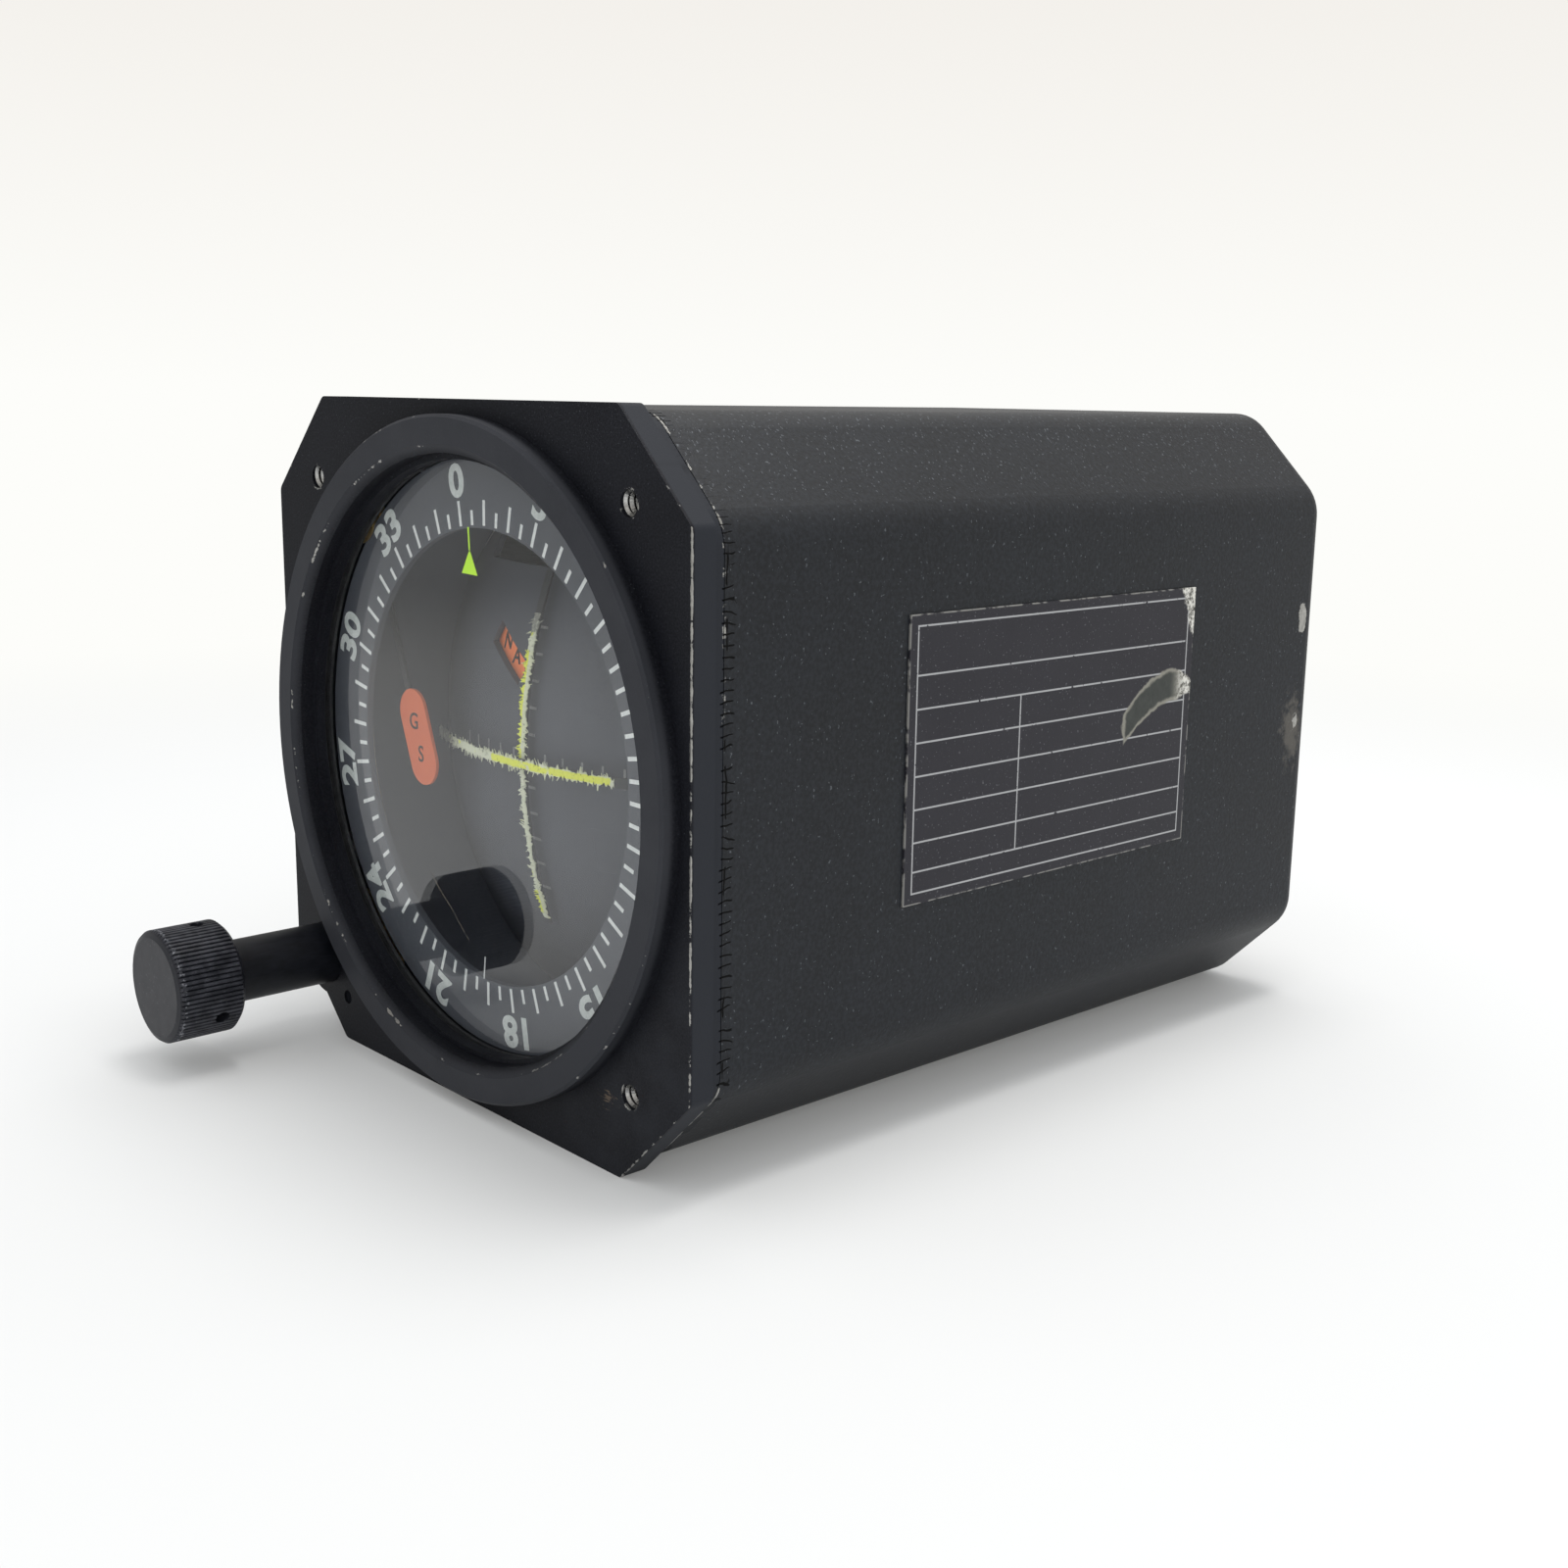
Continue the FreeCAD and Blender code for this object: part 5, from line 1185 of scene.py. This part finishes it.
@dataclass
class Card:
    """The compass card's marks and numbers."""

    front: float = 4.05
    print_depth: float = 0.02
    inner: float = 27.2
    long_end: float = 30.1
    short_end: float = 28.9
    tick_width: float = 0.48
    number_radius: float = 32.45
    number_cut: Lettering = Lettering(height=4.0, weight=0.035, depth=0.02, widening=1.18)
    heading_shift: float = -9.1
    tick_step: int = 5
    numbers: tuple[str, ...] = ("0", "3", "6", "9", "12", "15", "18", "21", "24", "27", "30", "33")
    face: PlainFinish = PlainFinish("card_finish", linear(72, 74, 80), linear(80, 82, 88),
                                    roughness=0.6, cloud_mm=8.0, grain_mm=0.3)
    tick_ink: PlainFinish = PlainFinish("card_ink", linear(205, 207, 204), linear(222, 223, 219),
                                        roughness=0.6, cloud_mm=2.0, grain_mm=0.3)
    number_ink: PlainFinish = PlainFinish("number_ink", linear(186, 190, 186),
                                          linear(205, 208, 204), roughness=0.6, cloud_mm=2.0,
                                          grain_mm=0.3)

    def build(self) -> None:
        """Dresses the card and prints on it."""
        dress(self.face, "compass_card")
        self._ticks()
        self._numbers()

    def _ticks(self) -> None:
        """Prints a tick every five degrees, longer every ten."""
        shape = bmesh.new()
        lift = Vector((0, self.front - self.print_depth, 0))
        for degrees in range(0, 360, self.tick_step):
            end = self.long_end if degrees % (2 * self.tick_step) == 0 else self.short_end
            angle = math.radians(degrees + self.heading_shift)
            way = Vector((math.sin(angle), 0, math.cos(angle)))
            side = Vector((way.z, 0, -way.x)) * (self.tick_width / 2)
            corners = [way * self.inner - side, way * self.inner + side, way * end + side,
                       way * end - side]
            add_prism(shape, [(corner + lift) * MM for corner in corners],
                      Vector((0, self.print_depth * MM, 0)))
        make_piece("card_ticks", shape, "card", self.tick_ink.build())

    def _numbers(self) -> None:
        """Prints the numbers evenly round the card with their tops outwards."""
        shape = bmesh.new()
        depth = self.front - self.print_depth / 2
        for index, text in enumerate(self.numbers):
            angle = math.radians(index * 360 / len(self.numbers) + self.heading_shift)
            x = self.number_radius * math.sin(angle)
            z = self.number_radius * math.cos(angle)
            self.number_cut.add(shape, text, upright(x, depth, z, math.degrees(angle)))
        make_piece("card_numbers", shape, "card", self.number_ink.build())


@dataclass
class Dial:
    """The mask behind the needles, its scale marks and the fixed index marks."""

    radius: float = 60.0
    pitch_degrees: float = 3.06
    marks: int = 5
    mark_length: float = 2.4
    mark_width: float = 0.34
    print_depth: float = 0.03
    sunk: float = 0.01
    index_depth: float = 3.72
    arrow_head: tuple[Pair, ...] = ((-2.14, 24.4), (-0.59, 21.46), (-3.84, 21.55))
    arrow_stem: tuple[Pair, ...] = ((-2.5, 26.9), (-2.2, 26.9), (-2.02, 24.1), (-2.3, 24.1))
    lower_line: tuple[Pair, ...] = ((-0.62, -24.0), (-0.38, -24.0), (-0.7, -26.8), (-0.95, -26.8))
    film_centre: Pair = (12.5, -10.0)
    film_half_degrees: Pair = (1.95, 2.6)
    face: PlainFinish = PlainFinish("mask_finish", linear(68, 70, 77), linear(76, 78, 85),
                                    roughness=0.65, cloud_mm=9.0, grain_mm=0.35)
    scale_ink: PlainFinish = PlainFinish("scale_ink", linear(120, 120, 120),
                                         linear(150, 150, 148), roughness=0.6)
    lime: PlainFinish = PlainFinish("index_ink", linear(188, 240, 16), linear(198, 244, 30),
                                    roughness=0.5)
    white: PlainFinish = PlainFinish("lower_index_ink", linear(190, 192, 190),
                                     linear(205, 205, 202), roughness=0.5)

    def build(self) -> None:
        """Dresses the mask and prints its marks."""
        face = dress(self.face, "dial_mask", "light_shield", "to_from_vane")
        soften(30.0, "dial_mask")
        self._scale()
        self._flat_mark("top_index", (self.arrow_head, self.arrow_stem), self.lime)
        self._flat_mark("lower_index", (self.lower_line,), self.white)
        self._direction_film(face)

    def _on_mask(self, across: float, up: float, lift: float) -> Vector:
        """A point on the mask's front.

        Args:
            across: Degrees to the right, seen from the mask's centre of curvature.
            up: Degrees upwards.
            lift: How far the point stands off the mask.

        Returns:
            The point in metres.
        """
        radius = self.radius + lift
        x = radius * math.sin(math.radians(across))
        z = radius * math.sin(math.radians(up))
        y = DIAL_Y - math.sqrt(radius * radius - x * x - z * z)
        return Vector((x, y, z + DIAL_Z)) * MM

    def _scale(self) -> None:
        """Prints the deviation marks along both lines."""
        shape = bmesh.new()
        long_half = math.degrees(self.mark_length / 2 / self.radius)
        wide_half = math.degrees(self.mark_width / 2 / self.radius)
        for mark in range(-self.marks, self.marks + 1):
            if mark == 0:
                continue
            place = mark * self.pitch_degrees
            self._mark(shape, 0.0, place, long_half, wide_half)
            self._mark(shape, place, 0.0, wide_half, long_half)
        make_piece("deviation_marks", shape, "instrument", self.scale_ink.build())

    def _mark(self, shape: bmesh.types.BMesh, across: float, up: float, half_across: float,
              half_up: float) -> None:
        """Adds one mark as a thin plate that follows the mask.

        Args:
            shape: The mesh it is added to.
            across: Its middle, in degrees to the right.
            up: Its middle, in degrees upwards.
            half_across: Half its width in degrees.
            half_up: Half its height in degrees.
        """
        front, rear = [], []
        for i, j in ((-1, -1), (1, -1), (1, 1), (-1, 1)):
            place = (across + i * half_across, up + j * half_up)
            front.append(self._on_mask(*place, self.print_depth))
            rear.append(self._on_mask(*place, -self.sunk))
        add_prism(shape, front, sum((r - f for f, r in zip(front, rear)), Vector()) / 4)

    def _flat_mark(self, name: str, outlines: tuple[tuple[Pair, ...], ...],
                   ink: PlainFinish) -> None:
        """Adds a flat index mark behind the glass.

        Args:
            name: The piece's name.
            outlines: Its outlines, seen from the front.
            ink: Its finish.
        """
        shape = bmesh.new()
        for outline in outlines:
            points = [Vector((x, self.index_depth, z)) * MM for x, z in outline]
            add_prism(shape, points, Vector((0, self.print_depth, 0)) * MM)
        make_piece(name, shape, "instrument", ink.build())

    def _direction_film(self, face: bpy.types.Material) -> None:
        """Adds the black film over the direction window, which hides the direction vane.

        Args:
            face: The mask's own material.
        """
        shape = bmesh.new()
        across = math.degrees(math.asin(self.film_centre[0] / self.radius))
        up = math.degrees(math.asin((self.film_centre[1] - DIAL_Z) / self.radius))
        self._mark(shape, across, up, *self.film_half_degrees)
        make_piece("direction_film", shape, "instrument", face)


@dataclass(frozen=True)
class FlakeEdge:
    """A strip of old paint on a needle, with spiky edges where flakes stand off."""

    radius: float
    half_width: float
    low: float
    high: float
    seed: int
    thin_span: Pair
    thin_share: float
    steps: int = 240
    thickness: float = 0.05
    sunk: float = 0.02
    spike_chance: float = 0.12
    gap_chance: float = 0.15
    shards: int = 90
    shard_depth: float = 0.05

    def _outline(self) -> tuple[list[float], list[float], list[float]]:
        """Places along the needle and the reach of the paint to either side.

        Returns:
            Places, left reach and right reach in millimetres.
        """
        dice = random.Random(self.seed)
        places, left, right = [], [], []
        for step in range(self.steps + 1):
            place = self.low + (self.high - self.low) * step / self.steps
            places.append(place)
            half = self.half_width
            if self.thin_span[0] < place < self.thin_span[1]:
                half *= self.thin_share
            for side in (left, right):
                reach = half * dice.uniform(0.7, 1.15)
                if dice.random() < self.spike_chance:
                    reach = half * dice.uniform(1.3, 1.9)
                elif dice.random() < self.gap_chance:
                    reach = half * dice.uniform(0.2, 0.6)
                side.append(reach)
        return places, left, right

    def _point(self, across: float, place: float, lift: float) -> Vector:
        """A point beside an upright needle at the dial's middle.

        Args:
            across: Distance to the right of the needle's line.
            place: Distance above the dial's middle.
            lift: How far the point stands off the needle.

        Returns:
            The point in metres.
        """
        reach = self.radius + lift
        angle = math.asin(place / self.radius)
        return Vector((across, DIAL_Y - reach * math.cos(angle),
                       reach * math.sin(angle) + DIAL_Z)) * MM

    def _add_shards(self, shape: bmesh.types.BMesh) -> None:
        """Adds thin flakes of paint that stand off the needle's sides.

        Args:
            shape: The mesh they are added to.
        """
        dice = random.Random(self.seed + 2)
        for _ in range(self.shards):
            place = dice.uniform(self.low + 0.5, self.high - 0.5)
            side = dice.choice((-1, 1))
            root = side * self.half_width * dice.uniform(0.3, 0.7)
            long, wide = dice.uniform(0.4, 0.95), dice.uniform(0.06, 0.16)
            slant = dice.uniform(-0.45, 0.45)
            foot = self.thickness
            tip = foot + dice.uniform(0.0, 0.2)
            outline = [self._point(root, place - wide, foot), self._point(root, place + wide, foot),
                       self._point(root + side * long, place + slant + wide * 0.3, tip),
                       self._point(root + side * long, place + slant - wide * 0.3, tip)]
            add_prism(shape, outline, Vector((0, self.shard_depth, 0)) * MM)

    def shape(self) -> bmesh.types.BMesh:
        """Builds the strip for an upright needle at the dial's middle.

        Returns:
            The closed strip.
        """
        shape = bmesh.new()
        dice = random.Random(self.seed + 1)
        rows = []
        for place, left, right in zip(*self._outline()):
            row = []
            for lift in (self.thickness * dice.uniform(1.0, 2.4), -self.sunk):
                row.append(shape.verts.new(self._point(-left, place, lift)))
                row.append(shape.verts.new(self._point(right, place, lift)))
            rows.append(row)
        for lower, upper in zip(rows, rows[1:]):
            for first, second in ((0, 1), (3, 2), (2, 0), (1, 3)):
                shape.faces.new([lower[first], lower[second], upper[second], upper[first]])
        for row in (rows[0], rows[-1]):
            shape.faces.new([row[0], row[1], row[3], row[2]])
        self._add_shards(shape)
        return shape


@dataclass
class Needles:
    """Both needles: dark arms with strips of flaked paint."""

    lean_degrees: float = 0.56
    arm: PlainFinish = PlainFinish("arm_finish", linear(48, 49, 52), linear(62, 62, 62),
                                   roughness=0.5, cloud_mm=1.0, grain_mm=0.3)
    course_edge: FlakeEdge = FlakeEdge(radius=61.3, half_width=0.6, low=-19.6, high=17.6, seed=7,
                                       thin_span=(-15.0, -2.0), thin_share=0.72)
    slope_edge: FlakeEdge = FlakeEdge(radius=62.0, half_width=0.54, low=-23.9, high=16.4, seed=11,
                                      thin_span=(-24.0, -9.0), thin_share=0.95)
    course_paint: FlakedPaint = FlakedPaint("course_paint", Run.UPRIGHT,
                                            ((-2.5, 13.5), (-20.5, -15.5)), (12.0, 16.0))
    slope_paint: FlakedPaint = FlakedPaint("slope_paint", Run.LEVEL, ((-6.0, 16.5),),
                                           (-13.0, -20.0))

    def build(self) -> None:
        """Dresses the arms and lays the paint on them."""
        dress(self.arm, "cdi_needle", "gs_needle")
        course = self.course_edge.shape()
        self._turn(course, Matrix.Rotation(math.radians(self.lean_degrees), 4, "Z"))
        make_piece("course_needle_paint", course, "course_needle",
                   self.course_paint.build())
        slope = self.slope_edge.shape()
        self._turn(slope, Matrix.Rotation(math.radians(90), 4, "Y"))
        make_piece("slope_needle_paint", slope, "slope_needle",
                   self.slope_paint.build())

    def _turn(self, shape: bmesh.types.BMesh, turn: Matrix) -> None:
        """Turns a strip about the point that the needles swing about.

        Args:
            shape: The strip.
            turn: The rotation.
        """
        there = Matrix.Translation(Vector((0, DIAL_Y, DIAL_Z)) * MM)
        bmesh.ops.transform(shape, matrix=there @ turn @ there.inverted(), verts=shape.verts)


@dataclass
class Flags:
    """The two warning flags and their letters."""

    letter_depth: float = 0.03
    slope_height: float = 2.1
    slope_weight: float = 0.01
    slope_front: float = 7.0
    slope_letters: tuple[tuple[str, float, float], ...] = (("G", -20.6, 1.5), ("S", -19.1, -2.5))
    course_height: float = 2.0
    course_letters: tuple[tuple[str, float, float], ...] = (
        ("N", -8.3, 12.5), ("A", -5.6, 11.0), ("V", -2.9, 9.5))
    vane_radius: float = 59.0
    ink: PlainFinish = PlainFinish("flag_ink", linear(40, 28, 24), linear(58, 40, 34),
                                   roughness=0.6)

    def build(self) -> None:
        """Dresses the flags and prints their letters."""
        dress(SlopeFlagPaint(), "gs_flag")
        dress(CourseFlagPaint(), "nav_flag")
        ink = self.ink.build()
        self._slope_letters(ink)
        self._course_letters(ink)

    def _slope_letters(self, ink: bpy.types.Material) -> None:
        """Prints two letters, one above the other, on the slope flag.

        Args:
            ink: Their material.
        """
        shape = bmesh.new()
        cut = Lettering(self.slope_height, self.slope_weight, self.letter_depth)
        for text, x, z in self.slope_letters:
            cut.add(shape, text, upright(x, self.slope_front - self.letter_depth / 2, z))
        make_piece("slope_flag_letters", shape, "slope_flag", ink)

    def _course_letters(self, ink: bpy.types.Material) -> None:
        """Prints three letters on the curved course vane, showing in its window.

        Args:
            ink: Their material.
        """
        shape = bmesh.new()
        cut = Lettering(self.course_height, depth=self.letter_depth)
        centre = Vector((0, DIAL_Y, DIAL_Z))
        for text, x, z in self.course_letters:
            up = z - DIAL_Z
            out = Vector((x, -math.sqrt(self.vane_radius**2 - x * x - up * up), up)).normalized()
            across = Vector((0, 0, 1)).cross(out).normalized()
            turn = Matrix((across, out.cross(across), out)).transposed().to_4x4()
            spot = centre + out * (self.vane_radius + self.letter_depth / 2)
            cut.add(shape, text, Matrix.Translation(spot * MM) @ turn)
        make_piece("course_flag_letters", shape, "course_flag", ink)


@dataclass
class Controls:
    """The knob, its screws and its shaft."""

    shaft: PlainFinish = PlainFinish("shaft_finish", linear(9, 11, 17), linear(20, 22, 29),
                                     cloud_mm=2.0, grain_mm=0.3, stretch=(1.0, 0.2, 1.0))
    screw: PlainFinish = PlainFinish("set_screw_finish", (0.03, 0.03, 0.03), (0.08, 0.08, 0.08),
                                     roughness=0.35, metallic=0.6)

    def build(self) -> None:
        """Dresses the knob and its shaft."""
        dress(KnobPlastic(), "obs_knob")
        dress(self.shaft, "obs_shaft")
        dress(self.screw, "knob_set_screws")
        soften(30.0, "obs_shaft")
        soften(25.0, "obs_knob")


@dataclass
class Mechanism:
    """Everything between the mask and the rear plate."""

    groups: tuple[tuple[PlainFinish, tuple[str, ...]], ...] = (
        (PlainFinish("gear_finish", (0.6, 0.42, 0.16), (0.7, 0.5, 0.22), 0.35, metallic=1.0),
         ("card_gear", "idler_gear", "shaft_pinion", "resolver_pinion", "resolver_gear",
          "card_roller_right", "card_roller_left", "card_roller_low")),
        (PlainFinish("steel_finish", (0.5, 0.5, 0.5), (0.62, 0.62, 0.6), 0.3, metallic=1.0),
         ("roller_pins", "idler_shaft", "resolver_shaft")),
        (PlainFinish("sheet_finish", (0.5, 0.5, 0.5), (0.6, 0.6, 0.6), 0.4, metallic=1.0,
                     cloud_mm=8.0, grain_mm=0.3, stretch=(0.1, 1.0, 1.0)),
         ("mechanism_plate", "resolver_plate", "movement_plate", "chassis_pillars")),
        (PlainFinish("can_finish", (0.1, 0.1, 0.11), (0.15, 0.15, 0.16)),
         ("cdi_meter", "gs_meter", "nav_flag_movement", "gs_flag_movement", "to_from_movement",
          "resolver_body")),
        (PlainFinish("board_finish", (0.02, 0.14, 0.05), (0.03, 0.2, 0.08), 0.35),
         ("front_board", "rear_board")),
        (PlainFinish("chip_finish", (0.02, 0.02, 0.02), (0.04, 0.04, 0.04), 0.5),
         ("board_components",)),
    )

    def build(self) -> None:
        """Dresses the inner solids."""
        for finish, nodes in self.groups:
            dress(finish, *nodes)


@dataclass
class Studio:
    """Floor, lamp, world and camera."""

    lens_mm: float = 42.39
    sensor_mm: float = 36.0
    nearest_seen: float = 10.0
    azimuth: float = 47.33
    elevation: float = 11.93
    roll: float = 0.86
    distance: float = 232.9
    target: tuple[float, float, float] = (11.49, 40.0, -5.78)
    floor_z: float = -41.3
    floor_radius: float = 9000.0
    floor_sides: int = 96
    room: Room = Room()
    light_color: Color = (0.95, 0.975, 1.0)
    light_low: float = 0.5
    light_rise: float = 0.9
    light_reach: Pair = (0.0, 0.9)
    lamp_place: tuple[float, float, float] = (40.0, 120.0, 520.0)
    lamp_aim: tuple[float, float, float] = (0.0, 30.0, 0.0)
    lamp_size: float = 240.0
    lamp_power: float = 1.9

    def build(self) -> None:
        """Sets up everything round the object."""
        bpy.context.scene.view_settings.view_transform = "Standard"
        self._camera()
        self._world()
        self._floor()
        self._lamp()

    def _camera(self) -> None:
        """Places the camera where the photograph was taken."""
        azimuth, elevation = math.radians(self.azimuth), math.radians(self.elevation)
        back = Vector((math.sin(azimuth) * math.cos(elevation),
                       -math.cos(azimuth) * math.cos(elevation), math.sin(elevation)))
        right = Vector((math.cos(azimuth), math.sin(azimuth), 0))
        up = back.cross(right)
        roll = math.radians(self.roll)
        tilted_right = right * math.cos(roll) + up * math.sin(roll)
        tilted_up = up * math.cos(roll) - right * math.sin(roll)
        eye = (Vector(self.target) + back * self.distance) * MM
        turn = Matrix((tilted_right, tilted_up, back)).transposed().to_4x4()
        data = bpy.data.cameras.new("camera")
        data.lens = self.lens_mm
        data.sensor_width = self.sensor_mm
        data.clip_start = self.nearest_seen * MM
        camera = bpy.data.objects.new("camera", data)
        camera.matrix_world = Matrix.Translation(eye) @ turn
        bpy.context.collection.objects.link(camera)
        bpy.context.scene.camera = camera

    def _world(self) -> None:
        """Lights the scene softly and shows the pale room to camera, metal and glass."""
        shader = WorldShader("studio")
        way = shader.node("ShaderNodeTexCoord", {}, {}, "Generated")
        rise = shader.node("ShaderNodeSeparateXYZ", {}, {"Vector": way}, "Z")
        strength = rise.ramp(*self.light_reach, "LINEAR") * self.light_rise + self.light_low
        lit = shader.node("ShaderNodeBackground", {},
                          {"Color": self.light_color, "Strength": strength})
        height = rise.ramp(*self.room.sky_reach, "LINEAR")
        tint = shader.mixed(height, self.room.horizon, self.room.sky)
        facing = shader.node("ShaderNodeVectorMath", {"operation": "DOT_PRODUCT"},
                             {0: way, 1: (*self.room.dark_way, 0.0)}, "Value")
        dark = facing.ramp(*self.room.dark_edge, "LINEAR") * self.room.dark_share
        shown = 1.0 - dark * shader.ray("Is Glossy Ray")
        seen = shader.node("ShaderNodeBackground", {}, {"Color": tint, "Strength": shown})
        rays = shader.ray("Is Camera Ray", "Is Glossy Ray", "Is Transmission Ray")
        bpy.context.scene.world = shader.done(shader.blend(rays, lit, seen))

    def _floor(self) -> None:
        """Adds a round white table that meets the background at the horizon."""
        shape = bmesh.new()
        bmesh.ops.create_circle(shape, cap_ends=True, segments=self.floor_sides,
                                radius=self.floor_radius * MM,
                                matrix=Matrix.Translation(Vector((0, 0, self.floor_z)) * MM))
        mesh = bpy.data.meshes.new("floor_sheet")
        shape.to_mesh(mesh)
        shape.free()
        floor = bpy.data.objects.new("floor_sheet", mesh)
        bpy.context.collection.objects.link(floor)
        mesh.materials.append(FloorPaper(self.room, self.target[:2]).build())

    def _lamp(self) -> None:
        """Adds one square soft lamp above, which points at the object."""
        data = bpy.data.lights.new("top_lamp", "AREA")
        data.size = self.lamp_size * MM
        data.energy = self.lamp_power
        lamp = bpy.data.objects.new("top_lamp", data)
        lamp.location = Vector(self.lamp_place) * MM
        aim = Vector(self.lamp_aim) * MM - lamp.location
        lamp.rotation_euler = aim.to_track_quat("-Z", "Y").to_euler()
        bpy.context.collection.objects.link(lamp)


def main() -> None:
    """Builds every part of the scene in order."""
    for part in (Housing(), Window(), Card(), Dial(), Needles(), Flags(), Controls(),
                 Mechanism(), Studio()):
        part.build()
        LOG.info("built %s", type(part).__name__)


if __name__ == "__main__":
    main()
